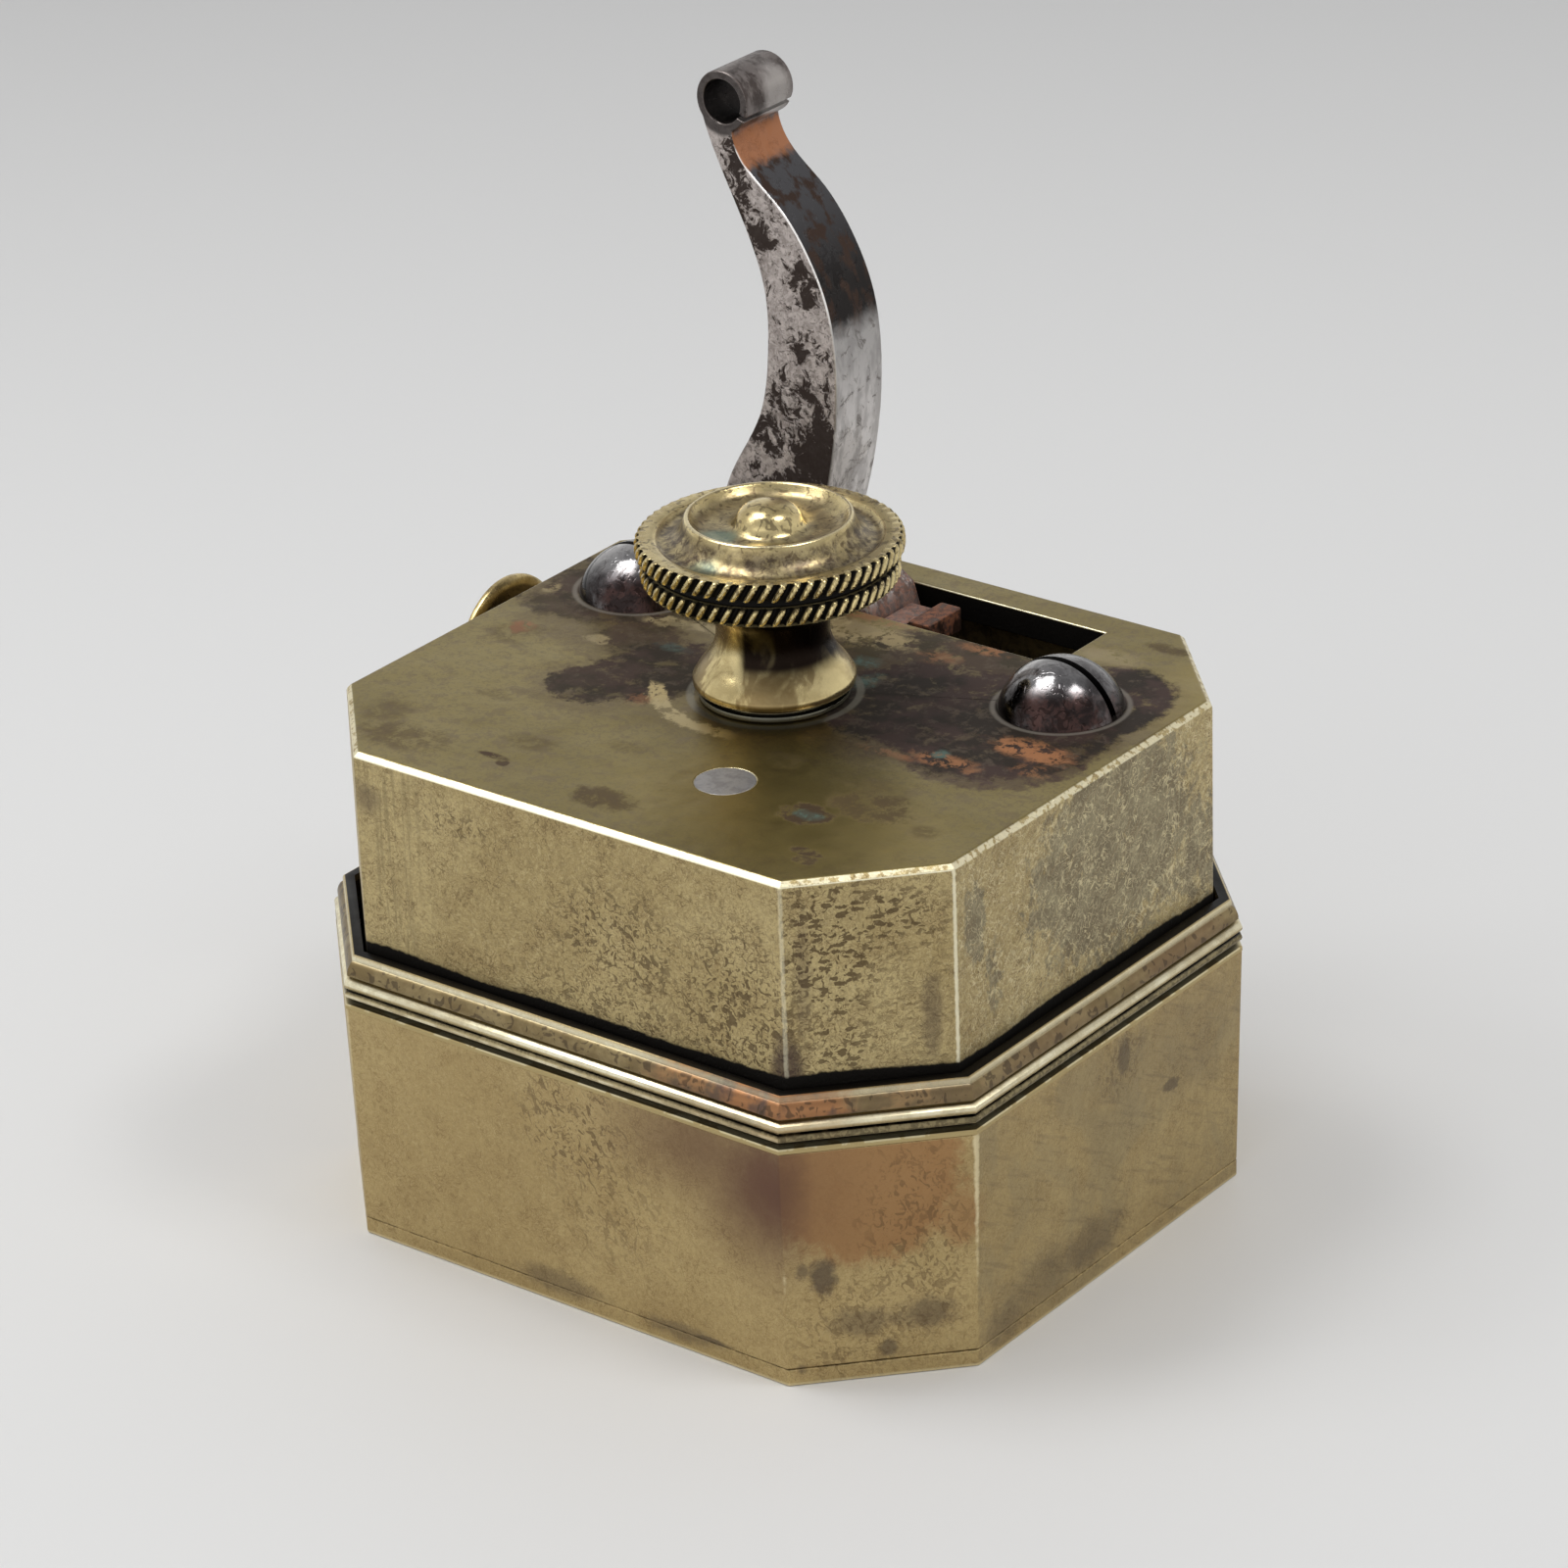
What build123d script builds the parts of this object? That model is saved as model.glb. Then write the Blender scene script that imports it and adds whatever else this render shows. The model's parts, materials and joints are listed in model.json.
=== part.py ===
from build123d import *
import math
import os

os.makedirs("parts", exist_ok=True)

# All sizes in millimetres. Origin: centre of the underside of the slit plate, +Z up, front face towards -Y.

# Cover: the lower octagonal box that the housing slides in
COVER_W, COVER_D = 44.0, 40.0
COVER_LEG_X, COVER_LEG_Y = 7.24, 7.5
COVER_FLARE = 0.3
PLATE_T = 1.0
WALL_TOP = 14.1
SLIDE_GAP = 0.3

# Moulding on top of the cover, from the bottom up
GROOVE_TOP, GROOVE_IN = 14.85, 0.75
BEAD_TOP, BEAD_ROUND = 15.85, 0.3
LINE_TOP = 16.0
COVE_TOP, LIP_IN = 16.85, 0.56
LIP_TOP = 17.2

# Housing: the upper octagonal box
HOUSING_W, HOUSING_D = 41.0, 37.0
HOUSING_LEG_X, HOUSING_LEG_Y = 6.2, 6.6
HOUSING_WALL = 1.0
HOUSING_BOTTOM = 4.0
TOP_T = 1.6
HOUSING_TOP = 29.0
TOP_UNDER = HOUSING_TOP - TOP_T
TOP_BEVEL = 0.3
OFFSET_LEG = 2.0 - math.sqrt(2.0)

# Lever slot in the top
SLOT_LEFT, SLOT_RIGHT = -13.2, 10.6
SLOT_FRONT, SLOT_BACK = 11.2, 16.2

# Frame plates inside the housing
FRAME_BOTTOM = 5.0
FRONT_PLATE = (-14.6, -13.4, 16.0)
MIDDLE_PLATE = (9.2, 10.4, 18.8)
BACK_PLATE = (16.45, 17.35, 13.4)
BRIDGE_FRONT, BRIDGE_BOTTOM, BRIDGE_HALF = 5.4, 25.4, 18.0
FRONT_PILLAR_X, FRONT_PILLAR_Z, FRONT_PILLAR_R = 15.0, 19.5, 1.1
BACK_PILLAR_X, BACK_PILLAR_Z, BACK_PILLAR_R = 12.3, 22.0, 0.9

# Frame screws and the flush spring stud
SCREW_CENTRES = ((-14.9, 7.0), (14.0, 7.0))
SCREW_HEAD_R, SCREW_DOME, SCREW_SHANK_R = 3.5, 2.7, 1.3
SCREW_SLOT_W, SCREW_SLOT_DEPTH = 0.6, 1.0
STUD_X, STUD_Y, STUD_R, STUD_SHANK_R = 4.6, -10.4, 1.64, 0.9

# Depth knob and spindle on the vertical axis
SPINDLE_R, RUN_GAP = 1.45, 0.05
SPINDLE_BOTTOM, SPINDLE_TOP = 5.0, 37.0
KNOB_BOTTOM = HOUSING_TOP + 0.05
RIM_R, LOWER_RIM_R, RIM_GROOVE_R = 7.3, 7.05, 6.5
RIM_TEETH, RIM_TOOTH = 60, 0.3
COLLAR_R, COLLAR_BOTTOM, COLLAR_TOP = 3.0, 25.6, 27.3
POST_R, POST_TOP, POST_BORE_BOTTOM = 2.4, 14.0, 2.0

# Cocking lever and toothed sector
PIVOT_Z, PIVOT_R = 20.0, 1.6
LEVER_FRONT, LEVER_BACK = 11.55, 15.85
FOOT_FRONT, FOOT_TOP = 13.8, 26.5
HUB_R = 3.2
CURL_X, CURL_Z, CURL_R, CURL_T = -11.3, 57.2, 1.75, 0.5
SECTOR_FRONT = 11.8

# Gear train: sector and two pinions
MODULE = 0.8
SECTOR_CIRCLE_TEETH, PINION_TEETH = 25, 10
PRESSURE = math.radians(25.0)
ADDENDUM, DEDENDUM, BACKLASH = 0.7, 0.95, 0.12
SECTOR_PITCH_R = MODULE * SECTOR_CIRCLE_TEETH / 2
PINION_PITCH_R = MODULE * PINION_TEETH / 2
ARBOR_X = 9.0
ARBOR_DROP = math.sqrt((SECTOR_PITCH_R + PINION_PITCH_R) ** 2 - ARBOR_X**2)
ARBOR_Z = PIVOT_Z - ARBOR_DROP
PINION_FRONT, PINION_BACK = 11.6, 14.2
FIRST_TOOTH, LAST_TOOTH = -1, 11

# Blade arbors
ARBOR_R, ARBOR_PIVOT_R, END_PLAY = 1.6, 0.9, 0.1
BLADE_T, BLADE_HUB_R, BLADE_TIP = 0.8, 2.6, 10.0
BLADE_Y = (-7.9, -5.6, -3.3, 3.3, 5.6, 7.9)
SPACER_R = 2.3
SLIT_W, SLIT_LENGTH = 1.1, 16.2
CAM_BACK, CAM_FRONT, CAM_R = -8.7, -12.1, 2.9

# Mainspring leaf
LEAF_T = 0.9

# Trigger and sear
TRIGGER_Y, TRIGGER_Z = 4.0, 24.8
BUTTON_R, BUTTON_FACE, BUTTON_BACK = 4.2, -22.6, -21.8
STEM_R, STEM_END = 0.9, -17.6
BUSH_R, BUSH_OUT, BUSH_IN = 1.9, -20.9, -18.9
SEAR_X, SEAR_Z, SEAR_R, SEAR_HUB_R = -16.6, 22.4, 0.8, 1.3


def save(part, name):
    """Label one finished piece and write its STEP file."""
    part.label = name
    export_step(part, f"parts/{name}.step")


def octagon(width, depth, leg_x, leg_y):
    """Chamfered rectangle, drawn in the current sketch."""
    half_w, half_d = width / 2, depth / 2
    corner = [(half_w, half_d - leg_y), (half_w - leg_x, half_d)]
    points = []
    for sx, sy in ((1, 1), (-1, 1), (-1, -1), (1, -1)):
        pair = [(sx * x, sy * y) for x, y in corner]
        points += pair if sx * sy > 0 else pair[::-1]
    Polygon(*points, align=None)


def cover_octagon(inset):
    """Cover outline moved inwards by inset."""
    shrink = OFFSET_LEG * inset
    octagon(COVER_W - 2 * inset, COVER_D - 2 * inset, COVER_LEG_X - shrink, COVER_LEG_Y - shrink)


def housing_octagon(inset):
    """Housing outline moved inwards by inset."""
    shrink = OFFSET_LEG * inset
    octagon(HOUSING_W - 2 * inset, HOUSING_D - 2 * inset, HOUSING_LEG_X - shrink, HOUSING_LEG_Y - shrink)


def along_y(back):
    """Plane in X and Z at Y = back, from which a positive extrusion runs towards the front."""
    return Plane.XZ.offset(-back)


# ---------------------------------------------------------------- cover
with BuildPart() as slit_plate:
    with BuildSketch():
        cover_octagon(COVER_FLARE)
    extrude(amount=PLATE_T)
    with BuildSketch():
        with Locations(*[(x, y) for x in (-ARBOR_X, ARBOR_X) for y in BLADE_Y]):
            SlotOverall(SLIT_LENGTH, SLIT_W)
    extrude(amount=PLATE_T, mode=Mode.SUBTRACT)
save(slit_plate.part, "slit_plate")

with BuildPart() as cover_walls:
    with BuildSketch(Plane.XY.offset(PLATE_T)):
        cover_octagon(COVER_FLARE)
    with BuildSketch(Plane.XY.offset(WALL_TOP)):
        cover_octagon(0)
    loft(ruled=True)
    with BuildSketch(Plane.XY.offset(PLATE_T)):
        housing_octagon(-SLIDE_GAP)
    extrude(amount=WALL_TOP, mode=Mode.SUBTRACT)
save(cover_walls.part, "cover_walls")


# Bands of the moulding: bottom, top, inset at the bottom, inset at the top
BANDS = (
    (WALL_TOP, GROOVE_TOP, GROOVE_IN, GROOVE_IN),
    (GROOVE_TOP, GROOVE_TOP + BEAD_ROUND, BEAD_ROUND, 0),
    (GROOVE_TOP + BEAD_ROUND, BEAD_TOP - BEAD_ROUND, 0, 0),
    (BEAD_TOP - BEAD_ROUND, BEAD_TOP, 0, BEAD_ROUND),
    (BEAD_TOP, LINE_TOP, BEAD_ROUND, BEAD_ROUND),
    (LINE_TOP, COVE_TOP, BEAD_ROUND / 2, LIP_IN),
    (COVE_TOP, LIP_TOP, LIP_IN, LIP_IN),
)
with BuildPart() as cover_moulding:
    for bottom, top, inset_bottom, inset_top in BANDS:
        with BuildSketch(Plane.XY.offset(bottom)):
            cover_octagon(inset_bottom)
        with BuildSketch(Plane.XY.offset(top)):
            cover_octagon(inset_top)
        loft(ruled=True)
    with BuildSketch(Plane.XY.offset(WALL_TOP)):
        housing_octagon(-SLIDE_GAP)
    extrude(amount=LIP_TOP - WALL_TOP, mode=Mode.SUBTRACT)
save(cover_moulding.part, "cover_moulding")

with BuildPart() as cover_post:
    with BuildSketch(Plane.XY.offset(PLATE_T)):
        Circle(POST_R)
    extrude(amount=POST_TOP - PLATE_T)
    with BuildSketch(Plane.XY.offset(POST_BORE_BOTTOM)):
        Circle(SPINDLE_R + RUN_GAP)
    extrude(amount=POST_TOP - POST_BORE_BOTTOM, mode=Mode.SUBTRACT)
save(cover_post.part, "cover_post")

# ---------------------------------------------------------------- housing
with BuildPart() as upper_housing:
    with BuildSketch(Plane.XY.offset(HOUSING_BOTTOM)):
        housing_octagon(0)
    extrude(amount=HOUSING_TOP - HOUSING_BOTTOM)
    chamfer(upper_housing.faces().sort_by(Axis.Z)[-1].edges(), TOP_BEVEL)
    with BuildSketch(Plane.XY.offset(HOUSING_BOTTOM)):
        housing_octagon(HOUSING_WALL)
    extrude(amount=TOP_UNDER - HOUSING_BOTTOM, mode=Mode.SUBTRACT)
    with BuildSketch(Plane.XY.offset(TOP_UNDER)):
        Circle(SPINDLE_R + RUN_GAP)
        with Locations(((SLOT_LEFT + SLOT_RIGHT) / 2, (SLOT_FRONT + SLOT_BACK) / 2)):
            Rectangle(SLOT_RIGHT - SLOT_LEFT, SLOT_BACK - SLOT_FRONT)
        with Locations(*SCREW_CENTRES):
            Circle(SCREW_SHANK_R)
        with Locations((STUD_X, STUD_Y)):
            Circle(STUD_R)
    extrude(amount=TOP_T, mode=Mode.SUBTRACT)
    with BuildSketch(Plane.YZ.offset(-HOUSING_W / 2)):
        with Locations((TRIGGER_Y, TRIGGER_Z)):
            Circle(BUSH_R)
    extrude(amount=HOUSING_WALL, mode=Mode.SUBTRACT)
save(upper_housing.part, "upper_housing")

for side, (x, y) in zip(("left", "right"), SCREW_CENTRES):
    with BuildPart() as frame_screw:
        with BuildSketch(Plane.XZ.offset(-y)):
            with BuildLine():
                dome = ThreePointArc(
                    (x, HOUSING_TOP + SCREW_DOME),
                    (x + SCREW_HEAD_R * 0.6, HOUSING_TOP + SCREW_DOME * 0.82),
                    (x + SCREW_HEAD_R, HOUSING_TOP),
                )
                Polyline(dome @ 1, (x, HOUSING_TOP), dome @ 0)
            make_face()
        revolve(axis=Axis((x, y, 0), (0, 0, 1)))
        with BuildSketch(Plane.XY.offset(BRIDGE_BOTTOM)):
            with Locations((x, y)):
                Circle(SCREW_SHANK_R)
        extrude(amount=HOUSING_TOP - BRIDGE_BOTTOM)
        with BuildSketch(Plane.XY.offset(HOUSING_TOP + SCREW_DOME - SCREW_SLOT_DEPTH)):
            with Locations((x, y)):
                Rectangle(2 * SCREW_HEAD_R, SCREW_SLOT_W)
        extrude(amount=SCREW_SLOT_DEPTH, mode=Mode.SUBTRACT)
    save(frame_screw.part, f"frame_screw_{side}")

with BuildPart() as frame_bridge:
    with BuildSketch(Plane.XY.offset(BRIDGE_BOTTOM)):
        with Locations((0, (BRIDGE_FRONT + MIDDLE_PLATE[0]) / 2)):
            Rectangle(2 * BRIDGE_HALF, MIDDLE_PLATE[0] - BRIDGE_FRONT)
        with Locations(*SCREW_CENTRES):
            Circle(SCREW_SHANK_R, mode=Mode.SUBTRACT)
    extrude(amount=TOP_UNDER - BRIDGE_BOTTOM)
save(frame_bridge.part, "frame_bridge")


ARBOR_CENTRES = [(-ARBOR_X, ARBOR_Z), (ARBOR_X, ARBOR_Z)]
FRONT_PILLARS = [(-FRONT_PILLAR_X, FRONT_PILLAR_Z), (FRONT_PILLAR_X, FRONT_PILLAR_Z)]
BACK_PILLARS = [(-BACK_PILLAR_X, BACK_PILLAR_Z), (BACK_PILLAR_X, BACK_PILLAR_Z)]

PIVOT_CENTRE = [(0, PIVOT_Z)]
FRAME_PLATES = (
    ("front_plate", FRONT_PLATE, ((ARBOR_CENTRES, ARBOR_PIVOT_R + RUN_GAP),)),
    (
        "middle_plate",
        MIDDLE_PLATE,
        (
            (ARBOR_CENTRES, ARBOR_R + RUN_GAP),
            (PIVOT_CENTRE, PIVOT_R),
            ([(SEAR_X, SEAR_Z)], SEAR_R + RUN_GAP),
        ),
    ),
    ("back_plate", BACK_PLATE, ((ARBOR_CENTRES, ARBOR_PIVOT_R + RUN_GAP), (PIVOT_CENTRE, PIVOT_R))),
)
for name, (front, back, half), holes in FRAME_PLATES:
    with BuildPart() as frame_plate:
        with BuildSketch(along_y(back)):
            with Locations((0, (FRAME_BOTTOM + TOP_UNDER) / 2)):
                Rectangle(2 * half, TOP_UNDER - FRAME_BOTTOM)
            for centres, radius in holes:
                with Locations(*centres):
                    Circle(radius, mode=Mode.SUBTRACT)
        extrude(amount=back - front)
    save(frame_plate.part, name)

PILLAR_SETS = (
    ("front", FRONT_PILLARS, FRONT_PILLAR_R, FRONT_PLATE[1], MIDDLE_PLATE[0]),
    ("back", BACK_PILLARS, BACK_PILLAR_R, MIDDLE_PLATE[1], BACK_PLATE[0]),
)
for row, centres, radius, front, back in PILLAR_SETS:
    for side, centre in zip(("left", "right"), centres):
        with BuildPart() as pillar:
            with BuildSketch(along_y(back)):
                with Locations(centre):
                    Circle(radius)
            extrude(amount=back - front)
        save(pillar.part, f"{row}_pillar_{side}")

with BuildPart() as lever_pivot:
    with BuildSketch(along_y(BACK_PLATE[1])):
        with Locations((0, PIVOT_Z)):
            Circle(PIVOT_R)
    extrude(amount=BACK_PLATE[1] - MIDDLE_PLATE[0])
save(lever_pivot.part, "lever_pivot")

with BuildPart() as pivot_washers:
    for front, back in ((MIDDLE_PLATE[1], SECTOR_FRONT - END_PLAY), (LEVER_BACK + END_PLAY, BACK_PLATE[0])):
        with BuildSketch(along_y(back)):
            with Locations((0, PIVOT_Z)):
                Circle(HUB_R)
                Circle(PIVOT_R, mode=Mode.SUBTRACT)
        extrude(amount=back - front)
save(pivot_washers.part, "pivot_washers")

with BuildPart() as mainspring:
    leaf_z = TOP_UNDER - LEAF_T / 2
    with BuildSketch(along_y(CAM_BACK)):
        with BuildLine() as leaf:
            upper = Line((8.0, leaf_z), (-13.4, leaf_z))
            bend = ThreePointArc(upper @ 1, (-16.2, leaf_z - 2.8), (-13.4, leaf_z - 5.6))
            Bezier(bend @ 1, (-10.4, leaf_z - 5.6), (-9.6, 15.6), (-8.0, 12.75))
        trace(line_width=LEAF_T)
    extrude(amount=CAM_BACK - CAM_FRONT)
    with BuildSketch(Plane.XY.offset(TOP_UNDER - LEAF_T)):
        with Locations((STUD_X, STUD_Y)):
            Circle(STUD_SHANK_R)
    extrude(amount=LEAF_T, mode=Mode.SUBTRACT)
save(mainspring.part, "mainspring")

STUD_BOTTOM = TOP_UNDER - LEAF_T - 1.6
with BuildPart() as spring_stud:
    with BuildSketch(Plane.XY.offset(TOP_UNDER)):
        with Locations((STUD_X, STUD_Y)):
            Circle(STUD_R)
    extrude(amount=TOP_T)
    with BuildSketch(Plane.XY.offset(STUD_BOTTOM)):
        with Locations((STUD_X, STUD_Y)):
            Circle(STUD_SHANK_R)
    extrude(amount=TOP_UNDER - STUD_BOTTOM)
save(spring_stud.part, "spring_stud")

with BuildPart() as spring_nut:
    with BuildSketch(Plane.XY.offset(STUD_BOTTOM + 0.3)):
        with Locations((STUD_X, STUD_Y)):
            RegularPolygon(STUD_R, 6)
            Circle(STUD_SHANK_R, mode=Mode.SUBTRACT)
    extrude(amount=TOP_UNDER - LEAF_T - STUD_BOTTOM - 0.3)
save(spring_nut.part, "spring_nut")

with BuildPart() as trigger_bush:
    with BuildSketch(Plane.YZ.offset(BUSH_OUT)):
        with Locations((TRIGGER_Y, TRIGGER_Z)):
            Circle(BUSH_R)
            Circle(STEM_R + RUN_GAP, mode=Mode.SUBTRACT)
    extrude(amount=BUSH_IN - BUSH_OUT)
save(trigger_bush.part, "trigger_bush")

BRACKET_FRONT, BRACKET_BACK = 5.6, 6.8
with BuildPart() as sear_bracket:
    with BuildSketch(along_y(BRACKET_BACK)):
        with BuildLine():
            Polyline(
                (SEAR_X - 1.5, BRIDGE_BOTTOM),
                (SEAR_X - 1.5, SEAR_Z - 1.5),
                (SEAR_X + 1.5, SEAR_Z - 1.5),
                (SEAR_X + 1.5, BRIDGE_BOTTOM),
                close=True,
            )
        make_face()
        with Locations((SEAR_X, SEAR_Z)):
            Circle(SEAR_R + RUN_GAP, mode=Mode.SUBTRACT)
    extrude(amount=BRACKET_BACK - BRACKET_FRONT)
save(sear_bracket.part, "sear_bracket")

with BuildPart() as sear_spring:
    with BuildSketch(along_y(TRIGGER_Y + 1.0)):
        with BuildLine():
            Bezier((-9.0, TOP_UNDER - 0.2), (-12.4, TOP_UNDER - 0.2), (-15.0, TOP_UNDER - 0.6), (-15.45, 24.6))
        trace(line_width=0.4)
    extrude(amount=1.6)
save(sear_spring.part, "sear_spring")

# ---------------------------------------------------------------- depth knob
with BuildPart() as depth_knob:
    with BuildSketch(Plane.XZ):
        with BuildLine():
            Polyline((0, SPINDLE_TOP), (SPINDLE_R, SPINDLE_TOP), (SPINDLE_R, KNOB_BOTTOM), (3.7, KNOB_BOTTOM))
            Polyline((3.7, KNOB_BOTTOM), (3.7, 29.6), (4.45, 29.9), (4.45, 30.3))
            Spline((4.45, 30.3), (3.4, 31.6), (3.1, 33.0), (3.6, 34.4))
            Polyline((3.6, 34.4), (6.4, 35.7), (LOWER_RIM_R, 36.0), (LOWER_RIM_R, 36.85))
            Polyline((LOWER_RIM_R, 36.85), (RIM_GROOVE_R, 36.95), (RIM_GROOVE_R, 37.4), (RIM_R, 37.5))
            Polyline((RIM_R, 37.5), (RIM_R, 38.2), (7.2, 38.35), (6.1, 38.35), (6.0, 37.9), (4.7, 37.9))
            Polyline((4.7, 37.9), (4.6, 39.3), (4.3, 39.4), (4.1, 39.1), (3.4, 38.7), (1.9, 38.7))
            Spline((1.9, 38.7), (1.5, 39.9), (0, 40.2))
            Line((0, 40.2), (0, SPINDLE_TOP))
        make_face()
    revolve(axis=Axis.Z)
    with BuildSketch(Plane.XY.offset(35.9)):
        with PolarLocations(RIM_R + 0.12, RIM_TEETH):
            RegularPolygon(RIM_TOOTH, 3)
        with PolarLocations(LOWER_RIM_R + 0.12, RIM_TEETH, start_angle=180 / RIM_TEETH):
            RegularPolygon(RIM_TOOTH, 3)
    extrude(amount=38.5 - 35.9, mode=Mode.SUBTRACT)
save(depth_knob.part, "depth_knob")

with BuildPart() as depth_spindle:
    with BuildSketch(Plane.XY.offset(SPINDLE_BOTTOM)):
        Circle(SPINDLE_R)
    extrude(amount=SPINDLE_TOP - SPINDLE_BOTTOM)
    chamfer(depth_spindle.faces().sort_by(Axis.Z)[0].edges(), 0.4)
save(depth_spindle.part, "depth_spindle")

COLLAR_PIN_R = 0.5
with BuildPart() as spindle_collar:
    with BuildSketch(Plane.XY.offset(COLLAR_BOTTOM)):
        Circle(COLLAR_R)
        Circle(SPINDLE_R, mode=Mode.SUBTRACT)
    extrude(amount=COLLAR_TOP - COLLAR_BOTTOM)
    with BuildSketch(Plane.YZ.offset(SPINDLE_R - 0.5)):
        with Locations((0, (COLLAR_BOTTOM + COLLAR_TOP) / 2)):
            Circle(COLLAR_PIN_R)
    extrude(amount=COLLAR_R, mode=Mode.SUBTRACT)
save(spindle_collar.part, "spindle_collar")

with BuildPart() as collar_pin:
    with BuildSketch(Plane.YZ.offset(SPINDLE_R)):
        with Locations((0, (COLLAR_BOTTOM + COLLAR_TOP) / 2)):
            Circle(COLLAR_PIN_R)
    extrude(amount=COLLAR_R - SPINDLE_R)
save(collar_pin.part, "collar_pin")


# ---------------------------------------------------------------- lever and gear train
def involute(angle):
    """Involute function of a pressure angle."""
    return math.tan(angle) - angle


def tooth_flank(pitch_r, circle_teeth):
    """Radius and half-angle pairs of one tooth side, from root to tip."""
    base_r = pitch_r * math.cos(PRESSURE)
    tip_r = pitch_r + ADDENDUM
    half_pitch = (math.pi * MODULE / 2 - BACKLASH / 2) / (2 * pitch_r)
    steps = 5
    flank = [(pitch_r - DEDENDUM, half_pitch + involute(PRESSURE))]
    for step in range(steps + 1):
        radius = base_r + (tip_r - base_r) * step / steps
        flank.append((radius, half_pitch + involute(PRESSURE) - involute(math.acos(base_r / radius))))
    gap_half = math.pi / circle_teeth
    return [(radius, min(angle, gap_half * 0.98)) for radius, angle in flank]


def gear_points(centre, pitch_r, circle_teeth, tooth_angles):
    """Outline points of the given teeth, counter-clockwise about the centre."""
    flank = tooth_flank(pitch_r, circle_teeth)
    points = []
    for middle in tooth_angles:
        side = [(radius, middle - angle) for radius, angle in flank]
        side += [(radius, middle + angle) for radius, angle in reversed(flank)]
        points += [(centre[0] + r * math.cos(a), centre[1] + r * math.sin(a)) for r, a in side]
    return points


LEFT_LINE = math.atan2(-ARBOR_DROP, -ARBOR_X)
RIGHT_LINE = math.atan2(-ARBOR_DROP, ARBOR_X)
SECTOR_STEP = 2 * math.pi / SECTOR_CIRCLE_TEETH
SECTOR_TEETH = [LEFT_LINE + SECTOR_STEP * k for k in range(FIRST_TOOTH, LAST_TOOTH + 1)]
SECTOR_HOLE_R = PIVOT_R + RUN_GAP
RIVET_R = 0.6
RIVET_POINTS = [(2.45 * math.cos(a), PIVOT_Z + 2.45 * math.sin(a)) for a in (math.pi / 2, -2.6, -0.5)]

with BuildPart() as drive_sector:
    with BuildSketch(along_y(FOOT_FRONT)):
        with BuildLine():
            outline = gear_points((0, PIVOT_Z), SECTOR_PITCH_R, SECTOR_CIRCLE_TEETH, SECTOR_TEETH)
            Polyline(*outline, (0, PIVOT_Z + HUB_R), close=True)
        make_face()
        with Locations((0, PIVOT_Z)):
            Circle(HUB_R)
            Circle(SECTOR_HOLE_R, mode=Mode.SUBTRACT)
        with Locations(*RIVET_POINTS):
            Circle(RIVET_R, mode=Mode.SUBTRACT)
    extrude(amount=FOOT_FRONT - SECTOR_FRONT)
save(drive_sector.part, "drive_sector")

with BuildPart() as sector_rivets:
    with BuildSketch(along_y(LEVER_BACK)):
        with Locations(*RIVET_POINTS):
            Circle(RIVET_R)
    extrude(amount=LEVER_BACK - SECTOR_FRONT)
save(sector_rivets.part, "sector_rivets")

LEVER_LEFT = [(-12.4, 33.0), (-11.54, 35.5), (-9.53, 39.1), (-8.76, 43.1), (-8.82, 46.6), (-9.9, 49.9)]
LEVER_LEFT += [(-11.26, 52.7), (-12.41, 55.3), (-12.9, 56.9)]
LEVER_RIGHT = [(-10.6, 55.2), (-9.94, 53.9), (-7.7, 51.9), (-5.7, 49.3), (-4.45, 46.4), (-4.0, 43.0)]
LEVER_RIGHT += [(-4.41, 37.7), (-5.36, 33.7)]
SHOULDER = (-2.2, 29.3)
FINGER_RIGHT, FINGER_BACK, FINGER_BOTTOM, FINGER_TOP = 1.9, 14.7, 27.6, 29.0

with BuildPart() as cocking_lever:
    with BuildSketch(along_y(LEVER_BACK)):
        with BuildLine():
            Line((-12.4, FOOT_TOP), (-12.4, 33.0))
            Spline(*LEVER_LEFT)
            Line((-12.9, 56.9), (-10.9, 57.0))
            Line((-10.9, 57.0), (-10.6, 55.2))
            Spline(*LEVER_RIGHT)
            ThreePointArc((-5.36, 33.7), (-4.3, 31.2), SHOULDER)
            Polyline(SHOULDER, (-1.6, TOP_UNDER), (-1.5, FOOT_TOP), (-12.4, FOOT_TOP))
        make_face()
        with Locations((CURL_X, CURL_Z)):
            Circle(CURL_R)
            Circle(CURL_R - CURL_T, mode=Mode.SUBTRACT)
        with BuildLine():
            Polyline((-10.5, 56.5), (-9.0, 56.0), (-9.0, 56.3), (-10.5, 56.8), close=True)
        make_face(mode=Mode.SUBTRACT)
    extrude(amount=LEVER_BACK - LEVER_FRONT)
    with BuildSketch(along_y(LEVER_BACK)):
        with BuildLine():
            Polyline((-12.4, FOOT_TOP), (-1.5, FOOT_TOP), (HUB_R, PIVOT_Z), (0, PIVOT_Z - HUB_R), close=True)
        make_face()
        with Locations((0, PIVOT_Z)):
            Circle(HUB_R)
    extrude(amount=LEVER_BACK - FOOT_FRONT)
    with BuildSketch(along_y(FINGER_BACK)):
        with Locations(((FINGER_RIGHT - 1.6) / 2, (FINGER_BOTTOM + FINGER_TOP) / 2)):
            Rectangle(FINGER_RIGHT + 1.6, FINGER_TOP - FINGER_BOTTOM)
    extrude(amount=FINGER_BACK - LEVER_FRONT)
    with BuildSketch(along_y(LEVER_BACK)):
        with Locations((0, PIVOT_Z)):
            Circle(SECTOR_HOLE_R)
        with Locations(*RIVET_POINTS):
            Circle(RIVET_R)
    extrude(amount=LEVER_BACK - FOOT_FRONT, mode=Mode.SUBTRACT)
save(cocking_lever.part, "cocking_lever")


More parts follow.
